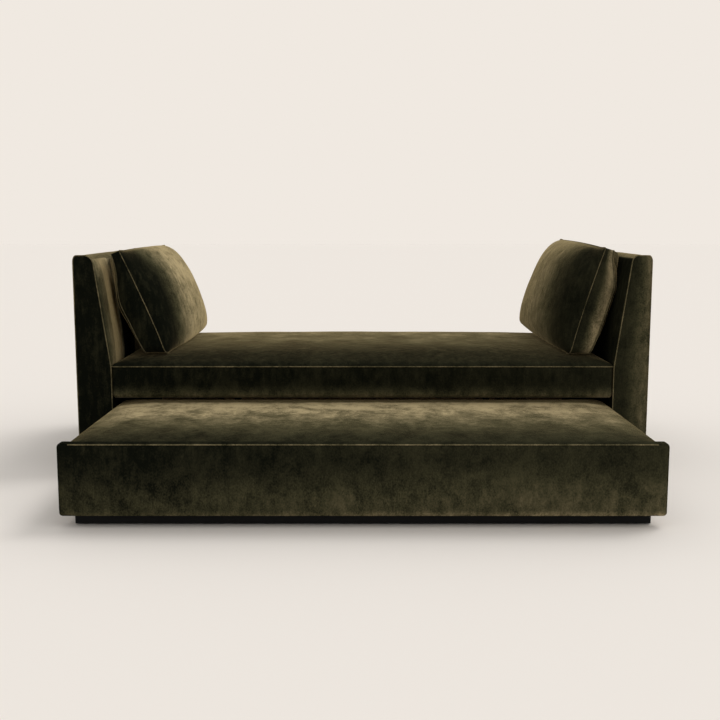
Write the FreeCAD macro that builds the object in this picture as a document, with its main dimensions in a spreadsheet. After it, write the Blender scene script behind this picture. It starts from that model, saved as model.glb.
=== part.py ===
"""Trundle daybed: wedge arms, bench seat, rolling trundle with a mattress, two loose pillows.

The frame is +X right, -Y front, +Z up, in millimetres, with the origin on the floor under the
middle of the object as it stands with the trundle pulled out.
"""
import FreeCAD, Part
import math
import os
import re

import Sketcher
from FreeCAD import Placement, Rotation, Vector

# Driving dimensions, each one set by itself
SIZES = {
    "overall_width": 2290,
    "body_depth": 1030,
    "floor_gap": 39,
    "cover_thickness": 3,
    "soft_clearance": 0.3,
    "arm_height": 868,
    "arm_base_thickness": 136,
    "arm_top_thickness": 74,
    "arm_inner_radius": 34,
    "arm_outer_radius": 14,
    "arm_padding": 16,
    "arm_frame_board": 22,
    "arm_skin": 4,
    "arm_rail_height": 34,
    "arm_sill_height": 40,
    "arm_cleat_thickness": 30,
    "plinth_inset": 34,
    "glide_height": 5,
    "glide_radius": 16,
    "glide_count": 3,
    "glide_inset": 90,
    "seat_bottom": 296,
    "seat_border": 128,
    "seat_crown": 48,
    "seat_roll": 340,
    "seat_corner": 12,
    "seat_setback": 4,
    "seat_side_gap": 0.5,
    "seat_padding": 12,
    "seat_rail_height": 70,
    "seat_rail_thickness": 28,
    "seat_slat_count": 13,
    "seat_slat_width": 68,
    "seat_slat_thickness": 16,
    "seat_beam_width": 45,
    "ledger_width": 24,
    "ledger_height": 24,
    "dust_cover_thickness": 1,
    "bolt_count": 4,
    "bolt_inset": 190,
    "bolt_radius": 4,
    "bolt_hole_clearance": 0.5,
    "bolt_head_radius": 7.5,
    "bolt_head_height": 5.5,
    "bolt_end": 4,
    "thread_clearance": 0.05,
    "washer_radius": 10,
    "washer_thickness": 1.6,
    "head_room": 3,
    "nut_height": 6.5,
    "back_panel_thickness": 40,
    "back_panel_setback": 4,
    "back_panel_corner": 8,
    "bumper_radius": 16,
    "bumper_offset": 620,
    "bumper_clearance": 0.5,
    "trundle_pull_out": 781,
    "trundle_side_gap": 6,
    "trundle_depth": 955,
    "panel_height": 245,
    "panel_thickness": 45,
    "panel_board": 20,
    "panel_corner": 13,
    "panel_edge": 10,
    "box_inset": 8,
    "box_board": 18,
    "box_bottom": 62,
    "box_height": 130,
    "trundle_slat_count": 13,
    "trundle_slat_width": 70,
    "trundle_slat_thickness": 14,
    "skirt_inset": 43,
    "skirt_thickness": 18,
    "skirt_floor_gap": 4,
    "mattress_gap": 3,
    "mattress_clearance": 14,
    "mattress_crown": 24,
    "mattress_roll": 150,
    "mattress_corner": 60,
    "mattress_draw_in": 6,
    "zip_width": 9,
    "mattress_zip_length": 900,
    "pillow_length": 870,
    "pillow_height": 432,
    "pillow_boxing": 75,
    "pillow_crown": 88,
    "pillow_back_crown": 60,
    "pillow_roll": 150,
    "pillow_corner": 10,
    "pillow_draw_in": 14,
    "pillow_tilt": 21.5,
    "pillow_zip_length": 560,
    "wheel_block": 80,
    "wheel_radius": 25,
    "wheel_width": 20,
    "wheel_edge": 2.5,
    "hub_width": 22,
    "hub_radius": 10,
    "rim_radius": 18,
    "web_width": 10,
    "axle_radius": 4,
    "axle_head_radius": 6.5,
    "axle_head": 2.5,
    "running_clearance": 0.05,
    "fork_gap": 24,
    "fork_drop": 9,
    "bracket_wall": 3,
    "bracket_width": 70,
    "bracket_depth": 40,
    "screw_radius": 2,
    "screw_head_radius": 4,
    "screw_head": 2.4,
    "screw_length": 20,
    "screw_edge": 8,
}

# Sizes and places worked out from the driving dimensions
DERIVED = {
    "half_width": "overall_width / 2",
    "bay_half": "half_width - arm_base_thickness",
    "front_y": "(trundle_pull_out - body_depth) / 2",
    "back_y": "front_y + body_depth",
    "middle_y": "front_y + body_depth / 2",
    "foam_inset": "cover_thickness + soft_clearance",
    "core_inset": "foam_inset + arm_padding",
    "skin_inset": "core_inset + arm_skin",
    "rails_front": "front_y + core_inset + arm_frame_board",
    "rails_back": "back_y - core_inset - arm_frame_board",
    "cleat_near": "bay_half + skin_inset",
    "cleat_far": "cleat_near + arm_cleat_thickness",
    "seat_edge": "seat_bottom + seat_border",
    "seat_half": "bay_half - seat_side_gap",
    "seat_half_depth": "body_depth / 2 - seat_setback",
    "frame_half": "seat_half - foam_inset - seat_padding",
    "frame_half_depth": "seat_half_depth - foam_inset - seat_padding",
    "end_rail_near": "frame_half - seat_rail_thickness",
    "rails_half_depth": "frame_half_depth - seat_rail_thickness",
    "dust_cover_inset": "foam_inset + seat_corner / 2",
    "rail_bottom": "seat_bottom + dust_cover_thickness",
    "rail_top": "rail_bottom + seat_rail_height",
    "seat_slat_bottom": "rail_top - seat_slat_thickness",
    "bolt_z": "rail_bottom + seat_rail_height / 2",
    "bolt_hole": "bolt_radius + bolt_hole_clearance",
    "head_near": "end_rail_near - washer_thickness - bolt_head_height",
    "bolt_far": "cleat_far + nut_height + bolt_end",
    "back_panel_back": "back_y - back_panel_setback",
    "back_panel_front": "back_panel_back - back_panel_thickness",
    "bumper_length": "back_panel_front - front_y - trundle_depth - bumper_clearance",
    "trundle_front": "front_y - trundle_pull_out",
    "trundle_back": "trundle_front + trundle_depth",
    "panel_half": "bay_half - trundle_side_gap",
    "panel_back": "trundle_front + panel_thickness",
    "panel_top": "floor_gap + panel_height",
    "board_front": "panel_back - panel_board",
    "box_half": "panel_half - box_inset",
    "box_inner_half": "box_half - box_board",
    "box_inner_back": "trundle_back - box_board",
    "box_mid_y": "(panel_back + box_inner_back) / 2",
    "ledger_top": "box_bottom + ledger_height",
    "slats_top": "ledger_top + trundle_slat_thickness",
    "mattress_half": "box_inner_half - mattress_gap",
    "mattress_half_depth": "(box_inner_back - panel_back) / 2 - mattress_gap",
    "mattress_top": "seat_bottom - mattress_clearance",
    "mattress_edge": "mattress_top - mattress_crown",
    "wheel_x": "box_inner_half - wheel_block / 2",
    "wheel_front_y": "panel_back + ledger_width + wheel_block / 2",
    "wheel_back_y": "box_inner_back - ledger_width - wheel_block / 2",
    "plate_bottom": "box_bottom - bracket_wall",
    "fork_outer": "fork_gap / 2 + bracket_wall",
    "wheel_bore": "axle_radius + running_clearance",
}

SIDES = ("left", "right")
CROWN_LEVELS = 6
SETTLE_STEPS = 8
CORNER_GROWTH = 0.25
CORNER_SHARE = 0.8
STRAIGHT = 0.01
PARALLEL = 0.99
TOUCHING = 1e-6

doc = FreeCAD.newDocument("TrundleDaybed")
sheet = doc.addObject("Spreadsheet::Sheet", "Sheet")
for row, (alias, value) in enumerate(SIZES.items(), start=1):
    sheet.set("A%d" % row, alias)
    sheet.set("B%d" % row, str(value))
    sheet.setAlias("B%d" % row, alias)

worked = doc.addObject("App::VarSet", "Worked")
nodes = []


def bind(text):
    """Write an expression of plain size names as one that reads the sheet and the worked sizes."""
    def owner(match):
        name = match.group()
        if name in SIZES:
            return "Sheet." + name
        return "Worked." + name if name in DERIVED else name
    return re.sub(r"[a-z][a-z_]*", owner, str(text))


for name in DERIVED:
    worked.addProperty("App::PropertyFloat", name, "Sizes")
for name, text in DERIVED.items():
    worked.setExpression(name, bind(text))
doc.recompute()


def size(name):
    """The value of one driving or worked-out size."""
    return float(sheet.get(name)) if name in SIZES else float(getattr(worked, name))


def node(obj, label):
    """Name a finished sub-part and keep it for writing."""
    obj.Label = label
    nodes.append(obj)
    return obj


def across(side, near, far):
    """The X span between two distances from the middle plane, on one side of it."""
    return (near, far) if side == "right" else ("-(%s)" % far, "-(%s)" % near)


def mirrored(half):
    """The span from minus to plus a half size."""
    return "-(%s)" % half, half


def board(label, x_span, y_span, z_span):
    """A rectangular board between two corners."""
    obj = doc.addObject("Part::Box", label)
    parts = (("Length", "x", x_span), ("Width", "y", y_span), ("Height", "z", z_span))
    for prop, axis, (low, high) in parts:
        obj.setExpression(prop, bind("(%s) - (%s)" % (high, low)))
        obj.setExpression("Placement.Base." + axis, bind(low))
    return obj


def at(obj, x, y, z):
    """Bind the base of an object's placement."""
    for axis, text in zip("xyz", (x, y, z)):
        obj.setExpression("Placement.Base." + axis, bind(text))
    return obj


def rod(label, radius, x_span, y, z):
    """A cylinder along X."""
    obj = doc.addObject("Part::Cylinder", label)
    obj.Placement = Placement(Vector(), Rotation(Vector(0, 1, 0), 90))
    obj.setExpression("Radius", bind(radius))
    obj.setExpression("Height", bind("(%s) - (%s)" % (x_span[1], x_span[0])))
    return at(obj, x_span[0], y, z)


def post(label, radius, x, y, z_span):
    """A cylinder along Z."""
    obj = doc.addObject("Part::Cylinder", label)
    obj.setExpression("Radius", bind(radius))
    obj.setExpression("Height", bind("(%s) - (%s)" % (z_span[1], z_span[0])))
    return at(obj, x, y, z_span[0])


def hexagon(label, radius, x_span, y, z):
    """A hexagonal prism along X."""
    obj = doc.addObject("Part::Prism", label)
    obj.Polygon = 6
    obj.Placement = Placement(Vector(), Rotation(Vector(0, 1, 0), 90))
    obj.setExpression("Circumradius", bind(radius))
    obj.setExpression("Height", bind("(%s) - (%s)" % (x_span[1], x_span[0])))
    return at(obj, x_span[0], y, z)


def cut(label, base, tool):
    """One object with another taken out of it."""
    obj = doc.addObject("Part::Cut", label)
    obj.Base = base
    obj.Tool = tool
    return obj


def fuse(label, pieces):
    """Several objects joined to one solid."""
    obj = doc.addObject("Part::MultiFuse", label)
    obj.Shapes = pieces
    return obj


def group(label, pieces):
    """Separate solids kept together."""
    obj = doc.addObject("Part::Compound", label)
    obj.Links = pieces
    return obj


def soft(label, shape):
    """A soft piece from a lofted shape."""
    obj = doc.addObject("Part::Feature", label)
    obj.Shape = shape
    return obj


def profile_body(label, points):
    """A body with a closed XZ outline whose corners are bound to the sizes."""
    body = doc.addObject("PartDesign::Body", label)
    sketch = body.newObject("Sketcher::SketchObject", label + "_outline")
    plane = [item for item in body.Origin.OriginFeatures if item.Role == "XZ_Plane"][0]
    sketch.AttachmentSupport = [(plane, "")]
    sketch.MapMode = "FlatFace"
    count = len(points)
    turns = [2 * math.pi * index / count for index in range(count)]
    rough = [Vector(math.cos(turn), math.sin(turn), 0) for turn in turns]
    for index in range(count):
        sketch.addGeometry(Part.LineSegment(rough[index], rough[(index + 1) % count]), False)
    for index in range(count):
        sketch.addConstraint(Sketcher.Constraint("Coincident", index, 2, (index + 1) % count, 1))
    for index, corner in enumerate(points):
        for kind, text, start in zip(("DistanceX", "DistanceY"), corner, rough[index]):
            place = sketch.addConstraint(Sketcher.Constraint(kind, -1, 1, index, 1, start))
            sketch.setExpression("Constraints[%d]" % place, bind(text))
    return body, sketch


def prism(label, points, y_span):
    """An XZ outline carried along Y."""
    body, sketch = profile_body(label, points)
    pad = body.newObject("PartDesign::Pad", label + "_pad")
    pad.Profile = (sketch, [""])
    pad.Reversed = True
    pad.setExpression("Length", bind("(%s) - (%s)" % (y_span[1], y_span[0])))
    body.setExpression("Placement.Base.y", bind(y_span[0]))
    return body


def round_edges(body, label, picks, radius):
    """Round those edges of a body that a test picks by middle and direction."""
    doc.recompute()
    base = body.Tip
    names = []
    for index, edge in enumerate(base.Shape.Edges, start=1):
        if picks(edge.CenterOfMass, edge.tangentAt(edge.FirstParameter)):
            names.append("Edge%d" % index)
    fillet = body.newObject("PartDesign::Fillet", label)
    fillet.Base = (base, names)
    fillet.setExpression("Radius", bind(radius))
    return body


def along_y(direction):
    """Whether an edge runs along Y."""
    return abs(direction.y) > PARALLEL


# Arms
def arm_wedge(side, label, inset, y_span, rounded):
    """The arm's wedge, drawn in by an inset on every face but the bottom."""
    sign = "" if side == "right" else "-"
    outer = "%s(half_width - %s)" % (sign, inset)
    top_inner = "%s(half_width - arm_top_thickness + %s)" % (sign, inset)
    base_inner = "%s(bay_half + %s)" % (sign, inset)
    top = "arm_height - %s" % inset
    points = ((outer, "floor_gap"), (outer, top), (top_inner, top),
              (base_inner, "seat_edge"), (base_inner, "floor_gap"))
    body = prism(label, points, y_span)
    if rounded:
        middle = size("half_width") - size("arm_top_thickness") / 2
        high = (size("seat_edge") + size("arm_height")) / 2
        round_edges(body, label + "_outer_round",
                    lambda mid, run: along_y(run) and mid.z > high and abs(mid.x) > middle,
                    "arm_outer_radius - %s" % inset)
        round_edges(body, label + "_inner_round",
                    lambda mid, run: along_y(run) and mid.z > high and abs(mid.x) < middle,
                    "arm_inner_radius - %s" % inset)
    return body


def bolt_places():
    """The Y of each bolt that joins the seat to an arm."""
    spacing = "(body_depth - 2 * bolt_inset) / (bolt_count - 1)"
    count = int(size("bolt_count"))
    return ["front_y + bolt_inset + %d * %s" % (index, spacing) for index in range(count)]


def bolt_holes(side):
    """The bolt holes through the seat's end rail and the arm's inner side."""
    span = across(side, "end_rail_near - bolt_hole", "cleat_far + bolt_hole")
    rods = [rod("%s_hole_%d" % (side, index), "bolt_hole", span, y, "bolt_z")
            for index, y in enumerate(bolt_places())]
    return group("%s_bolt_holes" % side, rods)


def head_room(side):
    """The room round each bolt head and washer inside the seat frame."""
    span = across(side, "head_near - head_room", "end_rail_near")
    rods = [rod("%s_room_%d" % (side, index), "washer_radius + head_room", span, y, "bolt_z")
            for index, y in enumerate(bolt_places())]
    return group("%s_head_rooms" % side, rods)


def inset_span(inset):
    """The body's Y span drawn in at both ends."""
    return "front_y + %s" % inset, "back_y - %s" % inset


holes = {side: bolt_holes(side) for side in SIDES}


def arm(side):
    """One arm: velvet cover, foam, plywood ends, rails, skins and plinth."""
    rails = ("rails_front", "rails_back")
    outer = arm_wedge(side, side + "_arm_outer", "0", inset_span("0"), True)
    hollow = arm_wedge(side, side + "_arm_hollow", "cover_thickness", inset_span("cover_thickness"), True)
    shell = cut(side + "_arm_shell", outer, hollow)
    node(cut(side + "_arm_cover_drilled", shell, holes[side]), side + "_arm_cover")

    padding = arm_wedge(side, side + "_arm_padding", "foam_inset", inset_span("foam_inset"), True)
    core = arm_wedge(side, side + "_arm_core", "core_inset", inset_span("core_inset"), False)
    wrap = cut(side + "_arm_wrap", padding, core)
    node(cut(side + "_arm_foam_drilled", wrap, holes[side]), side + "_arm_foam")

    front = ("front_y + core_inset", "rails_front")
    back = ("rails_back", "back_y - core_inset")
    node(arm_wedge(side, side + "_front_ply", "core_inset", front, False), side + "_arm_front_frame")
    node(arm_wedge(side, side + "_back_ply", "core_inset", back, False), side + "_arm_back_frame")

    outer_inside = "half_width - skin_inset"
    rail_x = across(side, "half_width - arm_top_thickness + skin_inset", outer_inside)
    rail_z = ("arm_height - core_inset - arm_rail_height", "arm_height - core_inset")
    node(board(side + "_rail", rail_x, rails, rail_z), side + "_arm_top_rail")
    sill_z = ("floor_gap", "floor_gap + arm_sill_height")
    node(board(side + "_sill", across(side, "cleat_near", outer_inside), rails, sill_z), side + "_arm_sill")
    cleat_x = across(side, "cleat_near", "cleat_far")
    cleat = board(side + "_cleat", cleat_x, rails, ("rail_bottom", "rail_top"))
    node(cut(side + "_cleat_drilled", cleat, holes[side]), side + "_arm_cleat")

    sign = "" if side == "right" else "-"
    skin_top = "arm_height - core_inset"
    face = ["bay_half + core_inset", "bay_half + core_inset", "half_width - arm_top_thickness + core_inset"]
    levels = ["floor_gap", "seat_edge", skin_top]
    near = [("%s(%s)" % (sign, x), z) for x, z in zip(face, levels)]
    far = [("%s(%s + arm_skin)" % (sign, x), z) for x, z in zip(face, levels)]
    inner_sheet = prism(side + "_inner_sheet", near + far[::-1], rails)
    inner_skin = cut(side + "_inner_skin", inner_sheet, holes[side])
    outer_x = across(side, outer_inside, "half_width - core_inset")
    outer_skin = board(side + "_outer_skin", outer_x, rails, ("floor_gap", skin_top))
    node(group(side + "_skins", [inner_skin, outer_skin]), side + "_arm_skins")

    plinth_x = across(side, "bay_half + plinth_inset", "half_width - plinth_inset")
    plinth_z = ("glide_height", "floor_gap")
    node(board(side + "_plinth", plinth_x, inset_span("plinth_inset"), plinth_z), side + "_arm_plinth")


for each in SIDES:
    arm(each)

# Floor glides under both plinths
glides = []
glide_step = "(body_depth - 2 * glide_inset) / (glide_count - 1)"
for sign in ("-", ""):
    for index in range(int(size("glide_count"))):
        glide_y = "front_y + glide_inset + %d * %s" % (index, glide_step)
        glide_x = "%s(half_width - arm_base_thickness / 2)" % sign
        glides.append(post("glide", "glide_radius", glide_x, glide_y, ("0", "glide_height")))
node(group("glides", glides), "floor_glides")


# Cushion forms
def outline(half_x, half_y, corner, draw_in, z):
    """One level of a cushion: four sides drawn in between four round corners."""
    bend = corner * (1 - math.sqrt(0.5))
    corners = ((1, -1), (1, 1), (-1, 1), (-1, -1))
    starts, bends, ends = [], [], []
    for turn, (sx, sy) in enumerate(corners):
        side_x = Vector(sx * (half_x - corner), sy * half_y, z)
        side_y = Vector(sx * half_x, sy * (half_y - corner), z)
        bends.append(Vector(sx * (half_x - bend), sy * (half_y - bend), z))
        starts.append(side_x if turn % 2 == 0 else side_y)
        ends.append(side_y if turn % 2 == 0 else side_x)
    middles = (Vector(half_x - draw_in, 0, z), Vector(0, half_y - draw_in, z),
               Vector(draw_in - half_x, 0, z), Vector(0, draw_in - half_y, z))
    edges = []
    for turn in range(4):
        following = starts[(turn + 1) % 4]
        edges.append(Part.Arc(starts[turn], bends[turn], ends[turn]).toShape())
        if draw_in > STRAIGHT:
            edges.append(Part.Arc(ends[turn], middles[turn], following).toShape())
        else:
            edges.append(Part.LineSegment(ends[turn], following).toShape())
    return Part.Wire(edges)


def crown(half_x, half_y, corner, draw_in, roll, rise, edge_z):
    """The swelling top of a cushion: an elliptic roll up from its edge to a level middle.

    The corners grow rounder on the way up, as far as each level's shorter half leaves room.
    """
    levels = []
    for step in range(CROWN_LEVELS):
        angle = math.pi / 2 * step / (CROWN_LEVELS - 1)
        inset = roll * (1 - math.cos(angle))
        slack = draw_in * math.cos(angle)
        reach = (half_x - inset, half_y - inset)
        rounding = min(corner + inset * CORNER_GROWTH, min(reach) * CORNER_SHARE)
        levels.append(outline(*reach, rounding, slack, edge_z + rise * math.sin(angle)))
    return Part.makeLoft(levels, True, False)


def crowned(half_x, half_y, corner, draw_in, roll, rise, base_z, edge_z):
    """A cushion with upright sides from its base to its edge and a crown above."""
    sides = [outline(half_x, half_y, corner, draw_in, z) for z in (base_z, edge_z)]
    block = Part.makeLoft(sides, True, True)
    return block.fuse(crown(half_x, half_y, corner, draw_in, roll, rise, edge_z)).removeSplitter()


# Bench seat
seat_middle = Vector(0, size("middle_y"), 0)


def seat_form(inset, base_z):
    """The seat's crowned form, drawn in by an inset from its outside."""
    shape = crowned(size("seat_half") - inset, size("seat_half_depth") - inset, size("seat_corner"), 0,
                    size("seat_roll"), size("seat_crown") - inset, base_z, size("seat_edge"))
    shape.translate(seat_middle)
    return shape


both_holes = group("seat_bolt_holes", [holes[side] for side in SIDES])
seat_outside = soft("seat_outside", seat_form(0, size("seat_bottom")))
seat_wall = size("cover_thickness")
seat_inside = soft("seat_inside", seat_form(seat_wall, size("seat_bottom") - seat_wall))
seat_shell = cut("seat_shell", seat_outside, seat_inside)
node(cut("seat_cover_drilled", seat_shell, both_holes), "seat_cover")

frame_y = ("middle_y - frame_half_depth", "middle_y + frame_half_depth")
rails_y = ("middle_y - rails_half_depth", "middle_y + rails_half_depth")
rail_z = ("rail_bottom", "rail_top")
padding_block = soft("seat_padding_block", seat_form(size("foam_inset"), size("rail_bottom")))
frame_room = board("seat_frame_room", mirrored("frame_half"), frame_y, ("seat_bottom", "rail_top"))
seat_wrap = cut("seat_wrap", padding_block, frame_room)
node(cut("seat_foam_drilled", seat_wrap, both_holes), "seat_foam")

node(board("front_rail", mirrored("frame_half"), (frame_y[0], rails_y[0]), rail_z), "seat_front_rail")
node(board("back_rail", mirrored("frame_half"), (rails_y[1], frame_y[1]), rail_z), "seat_back_rail")
for each in SIDES:
    end_rail = board(each + "_end_rail", across(each, "end_rail_near", "frame_half"), rails_y, rail_z)
    node(cut(each + "_end_rail_drilled", end_rail, holes[each]), "seat_%s_end_rail" % each)

bearer_x = mirrored("end_rail_near")
ledger_z = ("seat_slat_bottom - ledger_height", "seat_slat_bottom")
beam_y = ("middle_y - seat_beam_width / 2", "middle_y + seat_beam_width / 2")
beam = board("seat_beam_blank", bearer_x, beam_y, ("rail_bottom", "seat_slat_bottom"))
seat_bearers = [
    board("seat_front_ledger", bearer_x, (rails_y[0], rails_y[0] + " + ledger_width"), ledger_z),
    board("seat_back_ledger", bearer_x, (rails_y[1] + " - ledger_width", rails_y[1]), ledger_z),
    cut("seat_beam", beam, group("seat_head_rooms", [head_room(side) for side in SIDES])),
]
node(group("seat_bearers", seat_bearers), "seat_slat_bearers")


def slats(label, count_name, half, width, y_span, z_span):
    """Evenly spaced slats across a frame, front to back."""
    strips = []
    for index in range(int(size(count_name))):
        centre = "%s * (%d + 1 - %s) / %s" % (half, 2 * index, count_name, count_name)
        x_span = ("%s - %s / 2" % (centre, width), "%s + %s / 2" % (centre, width))
        strips.append(board(label + "_strip", x_span, y_span, z_span))
    return group(label + "_strips", strips)


seat_slats = slats("seat_slat", "seat_slat_count", "end_rail_near", "seat_slat_width", rails_y,
                   ("seat_slat_bottom", "rail_top"))
node(seat_slats, "seat_slats")
dust_y = ("middle_y - seat_half_depth + dust_cover_inset", "middle_y + seat_half_depth - dust_cover_inset")
node(board("dust_sheet", mirrored("seat_half - dust_cover_inset"), dust_y, ("seat_bottom", "rail_bottom")),
     "seat_dust_cover")

# Bolts, washers and nuts that join the seat to the arms
bolts, washers, nuts = [], [], []
for each in SIDES:
    for place in bolt_places():
        head_span = across(each, "head_near", "head_near + bolt_head_height")
        shank_span = across(each, "head_near", "bolt_far")
        washer_span = across(each, "end_rail_near - washer_thickness", "end_rail_near")
        nut_span = across(each, "cleat_far", "cleat_far + nut_height")
        head = hexagon("bolt_head", "bolt_head_radius", head_span, place, "bolt_z")
        shank = rod("bolt_shank", "bolt_radius", shank_span, place, "bolt_z")
        bolts.append(fuse("bolt", [head, shank]))
        thread = rod("thread", "bolt_radius + thread_clearance", shank_span, place, "bolt_z")
        disc = rod("washer_disc", "washer_radius", washer_span, place, "bolt_z")
        washers.append(cut("washer", disc, thread))
        block = hexagon("nut_block", "bolt_head_radius", nut_span, place, "bolt_z")
        nuts.append(cut("nut", block, thread))
node(group("bolts", bolts), "arm_bolts")
node(group("washers", washers), "arm_bolt_washers")
node(group("nuts", nuts), "arm_bolt_nuts")


# Padded panels: the trundle's front and the closing panel at the back
def slab(label, half, z_span, y_span, corner, edge, front):
    """A panel with round corners and one softened face, at its front or its back."""
    left, right = mirrored(half)
    points = ((left, z_span[0]), (right, z_span[0]), (right, z_span[1]), (left, z_span[1]))
    body = prism(label, points, y_span)
    round_edges(body, label + "_corners", lambda mid, run: along_y(run), corner)
    if edge:
        doc.recompute()
        box = body.Tip.Shape.BoundBox
        face = box.YMin if front else box.YMax
        round_edges(body, label + "_edges", lambda mid, run: abs(mid.y - face) < TOUCHING, edge)
    return body


panel_z = ("floor_gap", "panel_top")
inner_z = ("floor_gap + cover_thickness", "panel_top - cover_thickness")
filling_z = ("floor_gap + foam_inset", "panel_top - foam_inset")
panel_outside = slab("panel_outside", "panel_half", panel_z, ("trundle_front", "panel_back"),
                     "panel_corner", "panel_edge", True)
panel_hollow = slab("panel_hollow", "panel_half - cover_thickness", inner_z,
                    ("trundle_front + cover_thickness", "panel_back + cover_thickness"),
                    "panel_corner - cover_thickness", "panel_edge - cover_thickness", True)
node(cut("panel_cover", panel_outside, panel_hollow), "trundle_front_cover")
node(slab("panel_padding", "panel_half - foam_inset", filling_z,
          ("trundle_front + foam_inset", "board_front"),
          "panel_corner - foam_inset", "panel_edge - foam_inset", True), "trundle_front_foam")
node(slab("panel_ply", "panel_half - foam_inset", filling_z, ("board_front", "panel_back"),
          "panel_corner - foam_inset", "", True), "trundle_front_board")

closing_z = ("floor_gap", "seat_bottom")
closing_inner_z = ("floor_gap + cover_thickness", "seat_bottom - cover_thickness")
closing_board_z = ("floor_gap + foam_inset", "seat_bottom - foam_inset")
closing_outside = slab("closing_outside", "seat_half", closing_z, ("back_panel_front", "back_panel_back"),
                       "back_panel_corner", "back_panel_corner / 2", False)
closing_hollow = slab("closing_hollow", "seat_half - cover_thickness", closing_inner_z,
                      ("back_panel_front - cover_thickness", "back_panel_back - cover_thickness"),
                      "back_panel_corner - cover_thickness", "", False)
node(cut("closing_cover", closing_outside, closing_hollow), "back_panel_cover")
node(slab("closing_ply", "seat_half - foam_inset", closing_board_z,
          ("back_panel_front", "back_panel_back - foam_inset"),
          "back_panel_corner - foam_inset", "", False), "back_panel_board")
bumpers = []
for sign in ("-", ""):
    bumper = doc.addObject("Part::Cylinder", "bumper")
    bumper.Placement = Placement(Vector(), Rotation(Vector(1, 0, 0), 90))
    bumper.setExpression("Radius", bind("bumper_radius"))
    bumper.setExpression("Height", bind("bumper_length"))
    bumpers.append(at(bumper, sign + "bumper_offset", "back_panel_front", "box_bottom + box_height / 2"))
node(group("bumpers", bumpers), "trundle_bumpers")

# Trundle box
box_z = ("box_bottom", "box_bottom + box_height")
box_y = ("panel_back", "box_inner_back")
for each in SIDES:
    node(board(each + "_box_side", across(each, "box_inner_half", "box_half"), box_y, box_z),
         "trundle_%s_side" % each)
node(board("box_back", mirrored("box_half"), ("box_inner_back", "trundle_back"), box_z),
     "trundle_back_board")
inner_x = mirrored("box_inner_half")
bearer_z = ("box_bottom", "ledger_top")
trundle_bearers = [
    board("box_front_ledger", inner_x, ("panel_back", "panel_back + ledger_width"), bearer_z),
    board("box_back_ledger", inner_x, ("box_inner_back - ledger_width", "box_inner_back"), bearer_z),
    board("box_middle_bearer", inner_x, ("box_mid_y - ledger_width", "box_mid_y + ledger_width"), bearer_z),
]
node(group("box_bearers", trundle_bearers), "trundle_slat_bearers")
node(slats("trundle_slat", "trundle_slat_count", "box_inner_half", "trundle_slat_width", box_y,
           ("ledger_top", "slats_top")), "trundle_slats")
node(board("skirt", mirrored("panel_half - skirt_inset"), ("panel_back", "panel_back + skirt_thickness"),
           ("skirt_floor_gap", "box_bottom")), "trundle_skirt")

# Trundle mattress
mattress_middle = Vector(0, size("box_mid_y"), 0)


def mattress_form(inset, base_z):
    """The mattress's crowned form, drawn in by an inset from its outside."""
    shape = crowned(size("mattress_half") - inset, size("mattress_half_depth") - inset,
                    size("mattress_corner"), size("mattress_draw_in"), size("mattress_roll"),
                    size("mattress_crown") - inset, base_z, size("mattress_edge"))
    shape.translate(mattress_middle)
    return shape


def zip_slot(length, width):
    """A block as long and wide as a zip, centred, that goes through a cover's wall."""
    reach = 2 * width
    block = Part.makeBox(length, reach, width)
    block.translate(Vector(-length / 2, -reach / 2, -width / 2))
    return block


def covered(outside, inside, zip_length, zip_place):
    """A cover with its zip opening, and the zip that fills it."""
    shell = outside.cut(inside)
    blocks = []
    for play in (0, 2 * size("soft_clearance")):
        block = zip_slot(zip_length - play, size("zip_width") - play)
        block.translate(zip_place)
        blocks.append(block)
    slot, zip_block = blocks
    return shell.cut(slot), shell.common(zip_block)


cushion_wall = size("cover_thickness")
mattress_base = size("slats_top")
mattress_zip_place = Vector(0, size("box_mid_y") + size("mattress_half_depth") - size("mattress_draw_in"),
                            (mattress_base + size("mattress_edge")) / 2)
mattress_inside = mattress_form(cushion_wall, mattress_base + cushion_wall)
mattress_cover, mattress_zip = covered(mattress_form(0, mattress_base), mattress_inside,
                                       size("mattress_zip_length"), mattress_zip_place)
node(soft("mattress_shell", mattress_cover), "trundle_mattress_cover")
node(soft("mattress_closure", mattress_zip), "trundle_mattress_zip")
filling_inset = size("foam_inset")
mattress_filling = mattress_form(filling_inset, mattress_base + filling_inset)
node(soft("mattress_filling", mattress_filling), "trundle_mattress_core")


# Castors
def screw_places(x, y):
    """The four screws of a bracket's plate, from its corners."""
    reach_x = "(bracket_width / 2 - screw_edge)"
    reach_y = "(bracket_depth / 2 - screw_edge)"
    return [("%s %s %s" % (x, a, reach_x), "%s %s %s" % (y, b, reach_y)) for a in "-+" for b in "-+"]


def wheel(label, x, y):
    """A castor wheel turned about X: hub, web and tread round a bore."""
    half = {part: part + "_width / 2" for part in ("hub", "web", "wheel")}
    steps = (("hub", "wheel_bore"), ("hub", "hub_radius"), ("web", "hub_radius"), ("web", "rim_radius"),
             ("wheel", "rim_radius"), ("wheel", "wheel_radius"))
    right = [(half[part], radius) for part, radius in steps]
    left = [("-(%s)" % half[part], radius) for part, radius in steps]
    body, sketch = profile_body(label, right + left[::-1])
    turned = body.newObject("PartDesign::Revolution", label + "_turned")
    turned.Profile = (sketch, [""])
    turned.ReferenceAxis = (sketch, ["H_Axis"])
    turned.Angle = 360
    tread = size("wheel_radius")
    doc.recompute()
    rims = ["Edge%d" % index for index, edge in enumerate(turned.Shape.Edges, start=1)
            if hasattr(edge.Curve, "Radius") and abs(edge.Curve.Radius - tread) < TOUCHING]
    softened = body.newObject("PartDesign::Fillet", label + "_tread")
    softened.Base = (turned, rims)
    softened.setExpression("Radius", bind("wheel_edge"))
    return at(body, x, y, "wheel_radius")


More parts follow.
